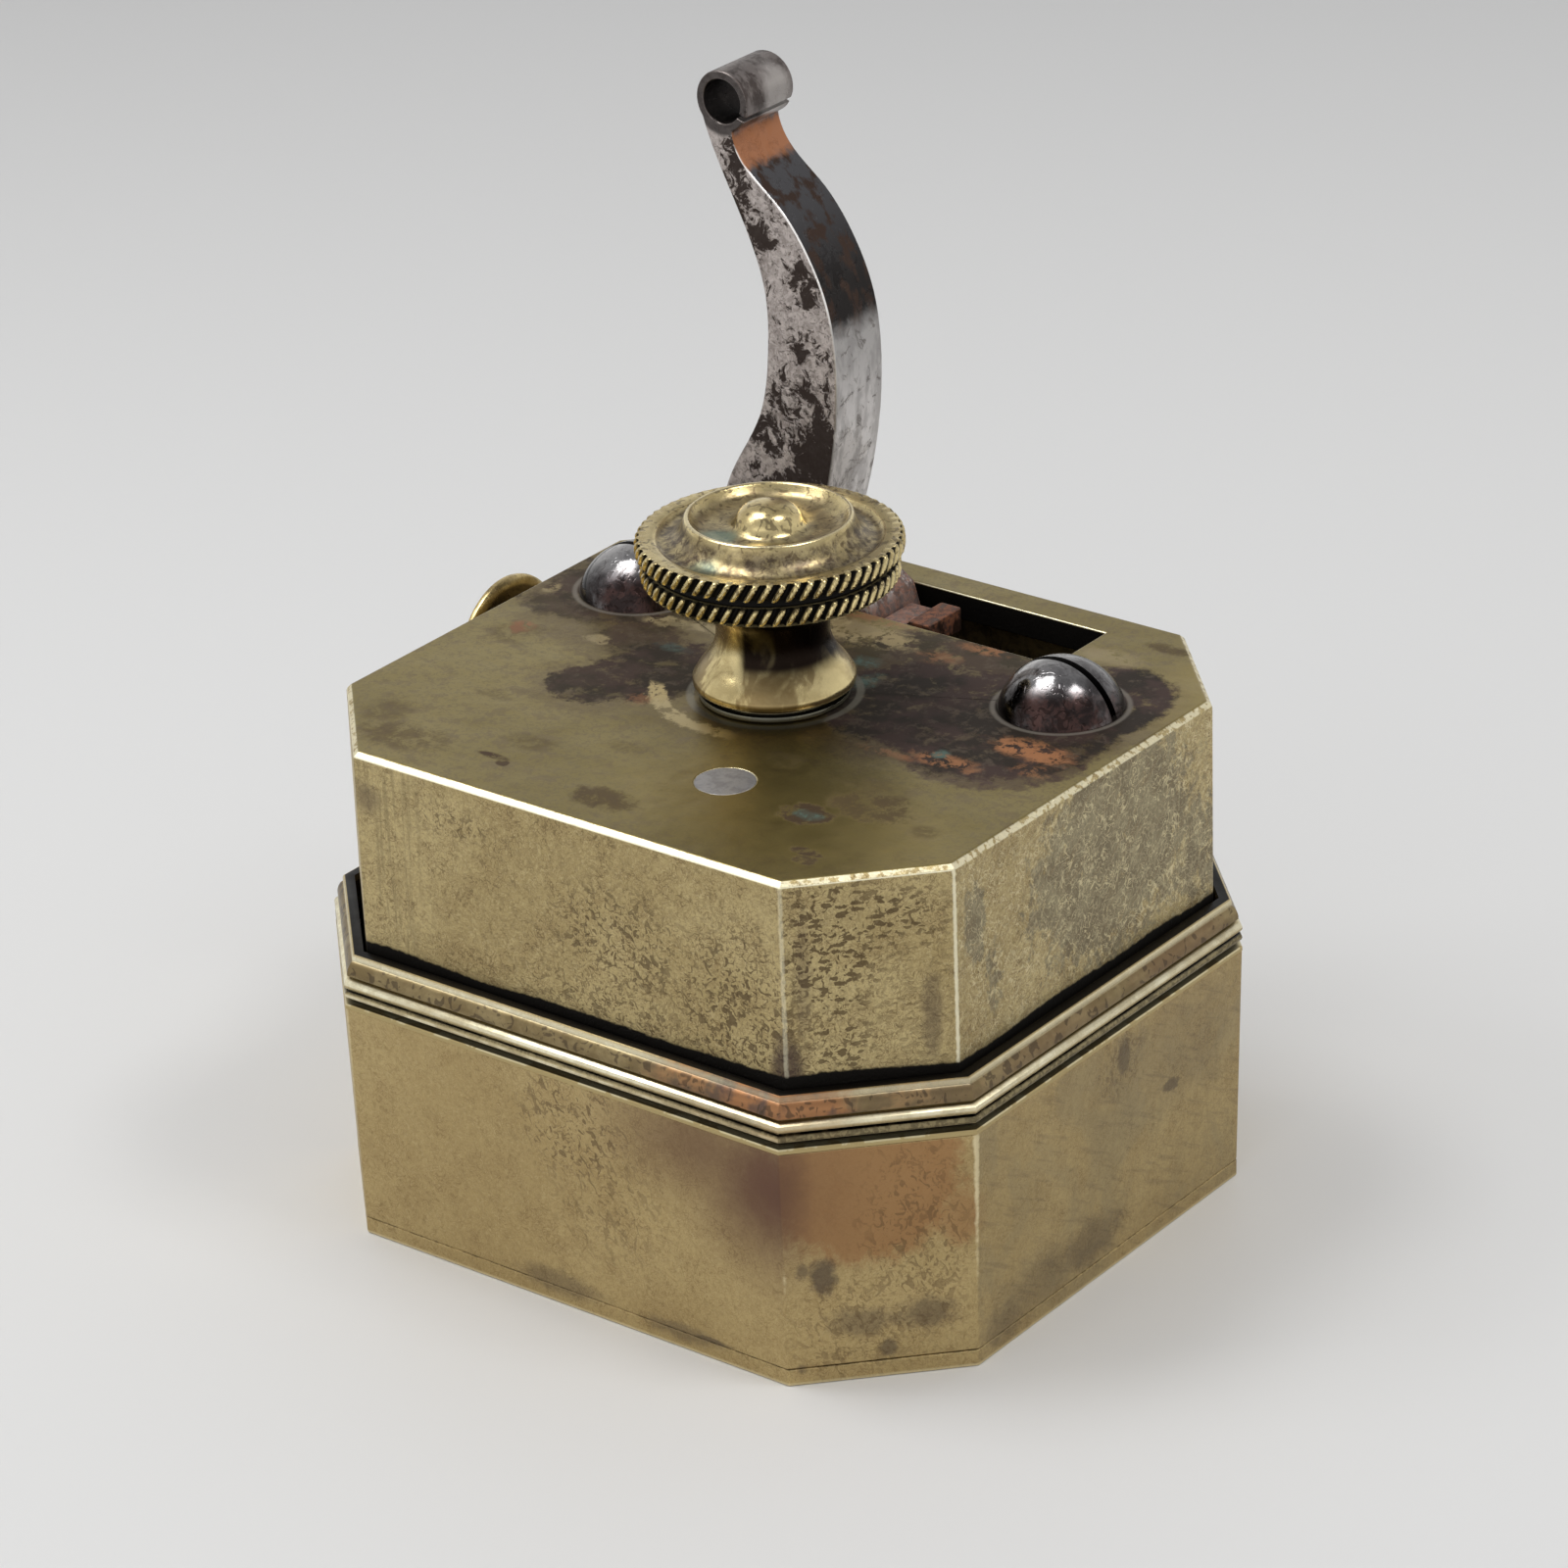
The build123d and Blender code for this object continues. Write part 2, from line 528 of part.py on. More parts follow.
def pinion_angles(line, sector_angle):
    """Tooth directions of a pinion whose gap meets the sector tooth at sector_angle on the centre line."""
    gap = line + math.pi - (sector_angle - line) * SECTOR_PITCH_R / PINION_PITCH_R
    step = 2 * math.pi / PINION_TEETH
    return [gap + step * (k + 0.5) for k in range(PINION_TEETH)]


SIDES = (
    ("left", -ARBOR_X, LEFT_LINE, CAM_BACK),
    ("right", ARBOR_X, RIGHT_LINE, FRONT_PLATE[1] + 3 * END_PLAY),
)
for side, x, line, spacer_front in SIDES:
    with BuildPart() as arbor:
        body_front, body_back = FRONT_PLATE[1] + END_PLAY, BACK_PLATE[0] - END_PLAY
        with BuildSketch(along_y(body_back)):
            with Locations((x, ARBOR_Z)):
                Circle(ARBOR_R)
        extrude(amount=body_back - body_front)
        with BuildSketch(along_y(BACK_PLATE[1])):
            with Locations((x, ARBOR_Z)):
                Circle(ARBOR_PIVOT_R)
        extrude(amount=BACK_PLATE[1] - FRONT_PLATE[0])
    save(arbor.part, f"{side}_arbor")

    with BuildPart() as pinion:
        with BuildSketch(along_y(PINION_BACK)):
            with BuildLine():
                angles = pinion_angles(line, SECTOR_TEETH[6])
                Polyline(*gear_points((x, ARBOR_Z), PINION_PITCH_R, PINION_TEETH, angles), close=True)
            make_face()
            with Locations((x, ARBOR_Z)):
                Circle(ARBOR_R, mode=Mode.SUBTRACT)
        extrude(amount=PINION_BACK - PINION_FRONT)
    save(pinion.part, f"{side}_pinion")

    for number, y in enumerate(BLADE_Y, start=1):
        with BuildPart() as blade:
            with BuildSketch(along_y(y + BLADE_T / 2)):
                with BuildLine():
                    tip = (x - BLADE_TIP, ARBOR_Z)
                    back_edge = ThreePointArc((x, ARBOR_Z + BLADE_HUB_R), (x - 5.6, ARBOR_Z + 1.5), tip)
                    cutting_edge = ThreePointArc(tip, (x - 6.4, ARBOR_Z - 2.2), (x, ARBOR_Z - BLADE_HUB_R))
                    Line(cutting_edge @ 1, back_edge @ 0)
                make_face()
                with Locations((x, ARBOR_Z)):
                    Circle(BLADE_HUB_R)
                    Circle(ARBOR_R, mode=Mode.SUBTRACT)
            extrude(amount=BLADE_T)
        save(blade.part, f"{side}_blade_{number}")

    edges = [spacer_front]
    for y in BLADE_Y:
        edges += [y - BLADE_T / 2, y + BLADE_T / 2]
    edges.append(MIDDLE_PLATE[0] - 2 * END_PLAY)
    with BuildPart() as spacers:
        for front, back in zip(edges[0::2], edges[1::2]):
            with BuildSketch(along_y(back)):
                with Locations((x, ARBOR_Z)):
                    Circle(SPACER_R)
                    Circle(ARBOR_R, mode=Mode.SUBTRACT)
            extrude(amount=back - front)
    save(spacers.part, f"{side}_spacers")

with BuildPart() as tumbler_cam:
    with BuildSketch(along_y(CAM_BACK)):
        with Locations((-ARBOR_X, ARBOR_Z)):
            Circle(CAM_R)
            Circle(ARBOR_R, mode=Mode.SUBTRACT)
    extrude(amount=CAM_BACK - CAM_FRONT)
save(tumbler_cam.part, "tumbler_cam")

# ---------------------------------------------------------------- trigger and sear
with BuildPart() as trigger_button:
    with BuildSketch(Plane.XZ.offset(-TRIGGER_Y)):
        with BuildLine():
            Polyline(
                (BUTTON_BACK, TRIGGER_Z),
                (BUTTON_BACK, TRIGGER_Z + 2.6),
                (BUTTON_BACK - 0.35, TRIGGER_Z + BUTTON_R),
                (BUTTON_FACE, TRIGGER_Z + BUTTON_R),
                (BUTTON_FACE, TRIGGER_Z + BUTTON_R - 0.3),
                (BUTTON_FACE + 0.3, TRIGGER_Z + 2.4),
                (BUTTON_FACE + 0.3, TRIGGER_Z),
                close=True,
            )
        make_face()
    revolve(axis=Axis((0, TRIGGER_Y, TRIGGER_Z), (1, 0, 0)))
save(trigger_button.part, "trigger_button")

with BuildPart() as trigger_stem:
    with BuildSketch(Plane.YZ.offset(BUTTON_BACK)):
        with Locations((TRIGGER_Y, TRIGGER_Z)):
            Circle(STEM_R)
    extrude(amount=STEM_END - BUTTON_BACK)
save(trigger_stem.part, "trigger_stem")

SEAR_FRONT, SEAR_ARM_BACK, SEAR_REAR_FRONT, SEAR_BACK = 3.2, 5.0, 11.8, 12.8
with BuildPart() as sear_shaft:
    with BuildSketch(along_y(SEAR_BACK)):
        with Locations((SEAR_X, SEAR_Z)):
            Circle(SEAR_R)
    extrude(amount=SEAR_BACK - SEAR_FRONT)
save(sear_shaft.part, "sear_shaft")


def sear_arm(tip, tip_r, neck):
    """Flat arm outline from the sear hub to a round tip, drawn in the current sketch."""
    length = math.hypot(tip[0] - SEAR_X, tip[1] - SEAR_Z)
    side_x, side_z = (tip[1] - SEAR_Z) / length * neck, -(tip[0] - SEAR_X) / length * neck
    Polygon(
        (SEAR_X + side_x, SEAR_Z + side_z),
        (tip[0] + side_x, tip[1] + side_z),
        (tip[0] - side_x, tip[1] - side_z),
        (SEAR_X - side_x, SEAR_Z - side_z),
        align=None,
    )
    with Locations(tip):
        Circle(tip_r)
    with Locations((SEAR_X, SEAR_Z)):
        Circle(SEAR_HUB_R)
        Circle(SEAR_R, mode=Mode.SUBTRACT)


with BuildPart() as sear_front_arm:
    with BuildSketch(along_y(SEAR_ARM_BACK)):
        sear_arm((SEAR_X - 0.1, TRIGGER_Z), 0.8, 0.6)
    extrude(amount=SEAR_ARM_BACK - SEAR_FRONT)
save(sear_front_arm.part, "sear_front_arm")

with BuildPart() as sear_rear_arm:
    with BuildSketch(along_y(SEAR_BACK)):
        sear_arm((-10.85, 16.4), 0.5, 0.5)
    extrude(amount=SEAR_BACK - SEAR_REAR_FRONT)
save(sear_rear_arm.part, "sear_rear_arm")
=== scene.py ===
import json
import math
import bmesh
import bpy
from mathutils import Matrix, Vector


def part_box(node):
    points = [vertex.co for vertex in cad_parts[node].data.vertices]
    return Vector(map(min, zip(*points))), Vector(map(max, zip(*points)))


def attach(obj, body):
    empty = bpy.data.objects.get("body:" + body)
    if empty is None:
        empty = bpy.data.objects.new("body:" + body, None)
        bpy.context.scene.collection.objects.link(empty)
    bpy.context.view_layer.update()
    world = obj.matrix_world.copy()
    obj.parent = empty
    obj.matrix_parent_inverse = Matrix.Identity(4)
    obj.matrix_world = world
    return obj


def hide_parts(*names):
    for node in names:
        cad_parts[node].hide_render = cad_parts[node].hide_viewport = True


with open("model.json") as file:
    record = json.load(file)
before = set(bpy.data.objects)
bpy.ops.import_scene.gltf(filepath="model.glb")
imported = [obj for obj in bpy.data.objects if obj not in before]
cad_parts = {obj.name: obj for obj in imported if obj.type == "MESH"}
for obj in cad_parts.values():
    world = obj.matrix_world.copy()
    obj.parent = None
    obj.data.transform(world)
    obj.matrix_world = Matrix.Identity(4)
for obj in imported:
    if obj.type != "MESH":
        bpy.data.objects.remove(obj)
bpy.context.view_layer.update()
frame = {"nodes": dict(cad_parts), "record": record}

MM = 0.001
NODES = frame["nodes"]
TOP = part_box("upper_housing")[1].z / MM          # top of the housing plate, mm
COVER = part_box("cover_moulding")
COVER_HALF = (COVER[1].x / MM, COVER[1].y / MM)
COVER_LEG = (7.24, 7.5)                          # chamfer legs of the cover, mm
HOUSING_HALF = (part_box("upper_housing")[1].x / MM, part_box("upper_housing")[1].y / MM)
HOUSING_LEG = (6.2, 6.6)
WALL_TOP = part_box("cover_walls")[1].z / MM
LIP_TOP = COVER[1].z / MM
CHAMFER_LEG_GROWTH = 2.0 - math.sqrt(2.0)
SCREWS = {side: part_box(f"frame_screw_{side}") for side in ("left", "right")}
SCREW_CENTRES = {side: ((a.x + b.x) / 2 / MM, (a.y + b.y) / 2 / MM) for side, (a, b) in SCREWS.items()}
SLOT_FLOOR = TOP + 0.22                          # bottom of the screw slots
SLOT_WIDTH = 0.46
LEVER_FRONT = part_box("cocking_lever")[0].y / MM
CURL = (-11.3, 57.2)                             # centre of the lever's rolled end, x and z
FOOT_LINE = 1.0                                  # height of the seam round the foot of the cover
GROOVE = (14.38, 14.69)                          # moulding heights: the black groove under the bead
BEAD_WAIST = 15.19                               # between the two rounds of the bead
COVE_LINE = 15.95                                # dark line under the cove
COVE = (15.98, 16.86)
CAMERA_COS, CAMERA_SIN = 0.787, 0.617            # of the camera's azimuth


# ------------------------------------------------------------------ shader helper
class Shader:
    """One material; every length is in millimetres of object space."""

    def __init__(self, name):
        self.material = bpy.data.materials.new(name)
        self.material.use_nodes = True
        self.tree = self.material.node_tree
        self.tree.nodes.clear()
        output = self.add("ShaderNodeOutputMaterial")
        self.bsdf = self.add("ShaderNodeBsdfPrincipled")
        self.tree.links.new(self.bsdf.outputs[0], output.inputs["Surface"])
        coords = self.add("ShaderNodeTexCoord")
        self.normal = coords.outputs["Normal"]
        scale = self.add("ShaderNodeVectorMath", operation="SCALE")
        self.tree.links.new(coords.outputs["Object"], scale.inputs[0])
        scale.inputs["Scale"].default_value = 1 / MM
        self.position = scale.outputs[0]
        self.x, self.y, self.z = self.split(self.position)
        self.nx, self.ny, self.nz = self.split(self.normal)
        self.height = None

    def add(self, kind, **settings):
        node = self.tree.nodes.new(kind)
        for key, setting in settings.items():
            setattr(node, key, setting)
        return node

    def feed(self, socket, source):
        if isinstance(source, bpy.types.NodeSocket):
            self.tree.links.new(source, socket)
        elif isinstance(source, (tuple, list)) and len(source) == 3 and socket.type == "RGBA":
            socket.default_value = (*source, 1.0)
        else:
            socket.default_value = source

    def split(self, vector):
        node = self.add("ShaderNodeSeparateXYZ")
        self.feed(node.inputs[0], vector)
        return node.outputs[0], node.outputs[1], node.outputs[2]

    def math(self, operation, a, b=0.0, c=0.0):
        node = self.add("ShaderNodeMath", operation=operation)
        for socket, source in zip(node.inputs, (a, b, c)):
            self.feed(socket, source)
        return node.outputs[0]

    def mul(self, *sources):
        result = sources[0]
        for source in sources[1:]:
            result = self.math("MULTIPLY", result, source)
        return result

    def plus(self, a, b):
        return self.math("ADD", a, b)

    def swing(self, noise, amount):
        """Noise moved from round a half to round zero, times amount."""
        return self.mul(self.plus(noise, -0.5), amount)

    def length(self, x, y):
        return self.math("SQRT", self.plus(self.mul(x, x), self.mul(y, y)))

    def most(self, *sources):
        result = sources[0]
        for source in sources[1:]:
            result = self.math("MAXIMUM", result, source)
        return result

    def invert(self, a):
        return self.math("SUBTRACT", 1.0, a)

    def ramp(self, source, low, high, start=0.0, end=1.0):
        """Smooth step of source from start at low to end at high."""
        node = self.add("ShaderNodeMapRange", interpolation_type="SMOOTHSTEP")
        for socket, value in zip(node.inputs, (source, low, high, start, end)):
            self.feed(socket, value)
        return node.outputs[0]

    def fall(self, source, low, high):
        """1 below low, 0 above high."""
        return self.ramp(source, low, high, 1.0, 0.0)

    def band(self, source, low, full, end, high):
        """Rises from low to full, falls from end to high."""
        return self.mul(self.ramp(source, low, full), self.fall(source, end, high))

    def to_front(self, low, high, start=0.0, end=1.0):
        """Ramp over how far a face looks to the front."""
        return self.ramp(self.mul(self.ny, -1.0), low, high, start, end)

    def stretch(self, scales, vector=None):
        """Position multiplied axis by axis."""
        node = self.add("ShaderNodeVectorMath", operation="MULTIPLY")
        self.feed(node.inputs[0], vector or self.position)
        node.inputs[1].default_value = scales
        return node.outputs[0]

    def turn(self, angle, axis=(0, 0, 1)):
        """Position turned by angle degrees."""
        node = self.add("ShaderNodeVectorRotate", rotation_type="AXIS_ANGLE")
        self.feed(node.inputs["Vector"], self.position)
        node.inputs["Axis"].default_value = axis
        node.inputs["Angle"].default_value = math.radians(angle)
        return node.outputs[0]

    def noise(self, scale, detail=3.0, rough=0.55, distortion=0.0, vector=None, shift=0.0):
        node = self.add("ShaderNodeTexNoise")
        source = vector or self.position
        if shift:
            offset = self.add("ShaderNodeVectorMath", operation="ADD")
            self.feed(offset.inputs[0], source)
            offset.inputs[1].default_value = (shift, shift * 1.7, shift * 0.6)
            source = offset.outputs[0]
        self.feed(node.inputs["Vector"], source)
        node.inputs["Scale"].default_value = scale
        node.inputs["Detail"].default_value = detail
        node.inputs["Roughness"].default_value = rough
        node.inputs["Distortion"].default_value = distortion
        return node.outputs[0]

    def cells(self, scale, vector):
        node = self.add("ShaderNodeTexVoronoi", feature="F1")
        self.feed(node.inputs["Vector"], vector)
        node.inputs["Scale"].default_value = scale
        return node.outputs["Distance"]

    def mix(self, amount, a, b):
        node = self.add("ShaderNodeMix", data_type="RGBA")
        self.feed(node.inputs[0], amount)
        self.feed(node.inputs[6], a)
        self.feed(node.inputs[7], b)
        return node.outputs[2]

    def blob(self, centre, radii, edge, wobble):
        """1 inside an ellipsoid round centre, 0 outside, with a ragged edge."""
        shift = self.add("ShaderNodeVectorMath", operation="SUBTRACT")
        self.feed(shift.inputs[0], self.position)
        shift.inputs[1].default_value = centre
        scaled = self.stretch([1.0 / r for r in radii], shift.outputs[0])
        length = self.add("ShaderNodeVectorMath", operation="LENGTH")
        self.feed(length.inputs[0], scaled)
        uneven = self.plus(self.ragged, -0.5)
        distance = self.math("MULTIPLY_ADD", uneven, wobble * 2.0, length.outputs["Value"])
        return self.fall(distance, 1.0 - edge, 1.0 + edge)

    def bump(self, height, strength=0.5, distance=0.1):
        """Adds one bump layer; distance is in millimetres."""
        node = self.add("ShaderNodeBump")
        node.inputs["Strength"].default_value = strength
        node.inputs["Distance"].default_value = distance * MM
        self.feed(node.inputs["Height"], height)
        if self.height is not None:
            self.feed(node.inputs["Normal"], self.height)
        self.height = node.outputs[0]

    def paint(self, tone, *masks):
        """Lays tone over the colour so far, by the product of the masks."""
        self.colour = self.mix(self.mul(*masks), self.colour, tone)

    def finish(self, roughness, metallic=1.0, specular=0.5):
        self.bsdf.inputs["Specular IOR Level"].default_value = specular
        self.feed(self.bsdf.inputs["Base Color"], self.colour)
        self.feed(self.bsdf.inputs["Roughness"], roughness)
        self.feed(self.bsdf.inputs["Metallic"], metallic)
        if self.height is not None:
            self.feed(self.bsdf.inputs["Normal"], self.height)
        return self.material


# ------------------------------------------------------------------ shared pattern pieces
def specks(s, scale, level, soft, shift, vector=None):
    """Small curved dark flecks where a distorted noise rises above level."""
    field = s.noise(scale, 1.5, 0.5, 1.2, vector, shift)
    return s.ramp(field, level, level + soft)


def worms(s, scale, width, shift):
    """Thin winding lines."""
    field = s.math("ABSOLUTE", s.plus(s.noise(scale, 1.0, 0.5, 1.6, shift=shift), -0.5))
    return s.fall(field, width * 0.35, width)


def spots(s, table):
    """Ragged blobs from rows of (centre, radii, edge, wobble, strength); the strongest wins."""
    return s.most(*(s.mul(s.blob(*shape), strength) for *shape, strength in table))


def plate_spots(s, table):
    """The same for flat blobs on the top plate: rows of (x, y, rx, ry, edge, wobble, strength)."""
    return spots(s, [((x, y, TOP), (rx, ry, 6), *rest) for x, y, rx, ry, *rest in table])


def edge_line(s, x, y, width, low, high):
    """1 on the upright line at x, y, between the two heights, with an uneven width."""
    dx = s.plus(s.x, -x)
    dy = s.plus(s.y, -y)
    distance = s.length(dx, dy)
    distance = s.plus(distance, s.swing(s.noise(2.6, 3), width))
    line = s.fall(distance, width * 0.4, width)
    return s.mul(line, s.ramp(s.z, low - 0.3, low + 0.3), s.fall(s.z, high - 0.3, high + 0.3))


def level_line(s, height, full, end):
    """1 within full of the height, 0 beyond end."""
    return s.fall(s.math("ABSOLUTE", s.plus(s.z, -height)), full, end)


def inside_octagon(s, half, leg, inset):
    """1 for points further than inset inside the octagon's faces."""
    ax = s.math("ABSOLUTE", s.x)
    ay = s.math("ABSOLUTE", s.y)
    corner = s.plus(s.mul(ax, 1 / leg[0]), s.mul(ay, 1 / leg[1]))
    limit = half[0] / leg[0] + half[1] / leg[1] - 1.0
    scale = math.hypot(1 / leg[0], 1 / leg[1])
    nearest = s.math("MINIMUM", s.math("SUBTRACT", half[0], ax), s.math("SUBTRACT", half[1], ay))
    nearest = s.math("MINIMUM", nearest, s.mul(s.math("SUBTRACT", limit, corner), 1 / scale))
    return s.ramp(nearest, inset - 0.1, inset + 0.1)


BRASS_LIGHT = (0.535, 0.430, 0.217)
BRASS_MID = (0.450, 0.352, 0.170)
BRASS_OLIVE = (0.235, 0.184, 0.064)
BRASS_BROWN = (0.25, 0.165, 0.08)
# pale brass for the bright edges: worn brass with painted highlight
BRASS_WEAR_AND_HIGHLIGHT = (0.98, 0.93, 0.70)
TARNISH_DARK = (0.034, 0.026, 0.020)
TARNISH_PURPLE = (0.062, 0.040, 0.034)
COPPER = (0.40, 0.185, 0.085)
GREY_FILM = (0.27, 0.235, 0.15)
PIT = (0.085, 0.055, 0.03)
# near-black for grime and for painted shade in gaps, grooves, slots and hollows
GRIME_AND_SHADE = (0.005, 0.004, 0.003)
VERDIGRIS = (0.12, 0.22, 0.18)


def start_brass(name):
    """Shader with the broad, middle and fine tone changes that every brass face shares."""
    s = Shader(name)
    s.ragged = s.noise(1.1, 7, 0.72, 0.3, shift=2)
    s.broad = s.noise(0.10, 3, 0.5, 0.4)
    s.middle = s.noise(0.5, 4, 0.6, 0.4, shift=11)
    s.fine = s.noise(3.4, 3, 0.6, 0.9, shift=5)
    s.colour = s.mix(s.ramp(s.broad, 0.38, 0.62), BRASS_MID, BRASS_LIGHT)
    s.paint(BRASS_BROWN, s.ramp(s.middle, 0.45, 0.7), 0.22)
    s.paint((0.25, 0.18, 0.085), s.ramp(s.fine, 0.48, 0.60), 0.24)
    s.paint((0.66, 0.55, 0.31), worms(s, 1.8, 0.03, 47), 0.35)
    etched = s.most(worms(s, 1.45, 0.028, 43), s.mul(worms(s, 2.4, 0.035, 45), 0.8))
    s.paint((0.17, 0.118, 0.055), etched, s.ramp(s.middle, 0.4, 0.6, 0.5, 1.0), 0.68)
    rough = s.plus(0.36, s.mul(s.middle, 0.18))
    s.bump(s.noise(0.35, 2, 0.5), 0.3, 0.25)
    s.bump(s.fine, 0.25, 0.025)
    return s, rough


def housing_brass():
    s, rough = start_brass("housing_brass")
    hx, hy = HOUSING_HALF
    top = s.ramp(s.nz, 0.75, 0.92)
    right = s.ramp(s.nx, 0.85, 0.95)
    front = s.to_front(0.85, 0.95)
    front_chamfer = s.ramp(s.math("SUBTRACT", s.nx, s.ny), 1.25, 1.36)

    # Right face: smoky film that breaks up into flakes, with slanting file lines showing through
    flakes = s.noise(1.15, 5, 0.68, 0.9, s.stretch((1.0, 1.0, 0.75)), shift=7)
    smoke = spots(s, [
        ((hx, -10.2, 25.0), (3, 1.0, 2.6), 0.3, 0.6, 0.85),
        ((hx, -8.6, 21.0), (3, 0.9, 2.6), 0.4, 0.8, 0.6),
        ((hx, 2.4, 24.0), (3, 7.6, 6.2), 0.35, 0.5, 0.95),
        ((hx, 9.6, 21.0), (3, 4.2, 3.4), 0.4, 0.8, 0.8),
    ])
    film = s.mul(right, s.ramp(s.plus(smoke, s.swing(flakes, 2.6)), 0.35, 0.75))
    film_tone = s.mix(s.ramp(s.middle, 0.4, 0.6), GREY_FILM, (0.19, 0.16, 0.105))
    s.paint(film_tone, film, 0.85)
    scratches = s.most(worms(s, 1.05, 0.036, 71), worms(s, 1.9, 0.034, 75))
    s.paint((0.72, 0.63, 0.39), scratches, right, s.ramp(flakes, 0.42, 0.55, 0.75, 0.3))
    lines = s.noise(1.0, 3, 0.6, 0.0, s.stretch((0.2, 0.25, 5.0), s.turn(-38, (1, 0, 0))))
    s.paint(BRASS_BROWN, s.ramp(lines, 0.5, 0.65), right, 0.25)
    s.bump(lines, 0.12, 0.03)

    # Pits: curved flecks in patches on the front, dense dashes on the front chamfer
    front_patch = spots(s, [
        ((3.6, -hy, 22.6), (4.0, 3, 2.8), 0.5, 0.7, 0.75),
        ((11.4, -hy, 20.4), (3.8, 3, 4.6), 0.5, 0.7, 0.85),
        ((2.5, -hy, 18.6), (5.0, 3, 1.4), 0.6, 0.7, 0.6),
        ((-7.5, -hy, 26.6), (2.2, 3, 0.9), 0.5, 0.8, 0.6),
    ])
    flecks = s.most(specks(s, 1.8, 0.565, 0.05, 3), s.mul(specks(s, 3.0, 0.57, 0.05, 23), 0.8))
    rows = s.cells(1.0, s.stretch((1.15, 1.15, 2.8)))
    rows = s.plus(rows, s.swing(s.noise(2.1, 3, 0.6, 0.6, shift=31), 1.3))
    dashes = s.most(s.fall(rows, 0.28, 0.36), s.mul(specks(s, 2.3, 0.57, 0.05, 37), 0.8))
    crowd = s.plus(0.34, spots(s, [
        ((hx - 4.6, -hy + 1.7, 25.2), (2.2, 2.4, 4.0), 0.6, 0.5, 0.78),
        ((hx - 2.4, -hy + 4.0, 26.4), (2.4, 2.6, 1.6), 0.6, 0.5, 0.6),
        ((hx - 4.4, -hy + 2.0, 19.5), (1.6, 1.8, 2.6), 0.6, 0.6, 0.5),
    ]))
    dashes = s.mul(dashes, front_chamfer, crowd, 1.15)
    pits = s.most(s.mul(flecks, s.plus(0.22, front_patch), 0.85), s.math("MINIMUM", dashes, 1.0))
    pits = s.mul(pits, s.invert(top))
    s.paint(PIT, pits, 0.8)
    s.bump(pits, 0.55, -0.07)
    brushed_up = s.noise(1.0, 3, 0.6, 0.0, s.stretch((3.2, 1.0, 0.16)), shift=9)
    left_end = s.mul(front, s.fall(s.x, -12.5, -7.5), s.ramp(brushed_up, 0.5, 0.62))
    s.paint((0.24, 0.19, 0.10), left_end, 0.45)
    smudges = spots(s, [
        ((hx - 6.2, -hy, 18.4), (0.8, 1.0, 1.6), 0.5, 0.7, 0.8),
        ((hx - 5.5, -hy + 0.8, 23.0), (0.35, 0.45, 3.6), 0.6, 1.2, 0.3),
        ((-13.6, -hy, 26.5), (0.9, 2, 0.9), 0.6, 0.8, 0.5),
        ((hx - 0.9, -hy + 5.6, 20.7), (0.5, 0.5, 2.3), 0.5, 0.8, 0.5),
    ])
    s.paint((0.075, 0.05, 0.045), smudges, s.invert(top))

    # Top plate: olive gold with tarnish spread from the knob and the screws
    brushed = s.noise(1.0, 3, 0.6, 0.0, s.stretch((0.10, 1.8, 1.0), s.turn(16)))
    wall = s.colour
    s.colour = s.mix(s.ramp(s.broad, 0.35, 0.65), BRASS_OLIVE, (0.285, 0.226, 0.087))
    s.paint((0.21, 0.17, 0.075), s.ramp(brushed, 0.45, 0.7), 0.25)
    mottle = s.noise(0.9, 6, 0.74, 0.3, shift=91)
    s.paint((0.19, 0.14, 0.068), s.ramp(mottle, 0.51, 0.60), 0.6)
    s.paint((0.165, 0.125, 0.063), s.ramp(s.fine, 0.5, 0.60), 0.4)
    dark = plate_spots(s, [
        (-9.0, -4.6, 2.6, 2.4, 0.10, 0.55, 0.92), (-7.0, -1.4, 3.6, 4.0, 0.12, 0.5, 0.95),
        (-10.6, 1.6, 2.6, 2.2, 0.15, 0.7, 0.75), (-15.0, 7.0, 5.4, 4.9, 0.10, 0.40, 0.88),
        (-16.6, 2.9, 3.4, 1.5, 0.25, 0.8, 0.75), (-7.0, 8.0, 5.0, 3.0, 0.2, 0.6, 0.85),
        (7.6, 3.2, 5.6, 5.6, 0.08, 0.30, 1.0), (13.0, 3.4, 6.2, 6.9, 0.06, 0.22, 1.0),
        (15.2, 8.2, 4.2, 5.0, 0.06, 0.22, 1.0), (6.4, 9.0, 6.4, 2.6, 0.1, 0.35, 0.9),
        (0.5, 5.2, 5.0, 3.4, 0.2, 0.5, 0.8),
    ])
    fringe = plate_spots(s, [
        (8.0, 0.6, 6.6, 5.0, 0.2, 0.45, 0.75), (14.2, 1.2, 5.4, 5.6, 0.05, 0.25, 1.0),
        (16.6, 7.0, 4.0, 6.0, 0.15, 0.35, 0.6), (-8.6, -4.8, 3.9, 3.6, 0.25, 0.6, 0.5),
        (-12.0, 2.0, 6.4, 3.6, 0.3, 0.7, 0.6), (-15.6, 6.0, 6.6, 5.6, 0.2, 0.5, 0.6),
        (-2.0, -3.5, 6.5, 3.6, 0.3, 0.6, 0.35),
    ])
    s.paint((0.088, 0.050, 0.032), fringe, s.ramp(mottle, 0.36, 0.56, 1.0, 0.6))
    # painted sheen: lighter golden patches on the plate at the front right and the back right
    painted_sheen = plate_spots(s, [(9.5, -12.0, 9.0, 5.0, 0.5, 0.4, 0.7), (19.0, 12.0, 3.0, 5.0, 0.4, 0.4, 0.5)])
    s.paint((0.35, 0.27, 0.095), painted_sheen)
    dark_tone = s.mix(s.ramp(s.noise(0.33, 4, 0.6, shift=81), 0.42, 0.58), TARNISH_DARK, TARNISH_PURPLE)
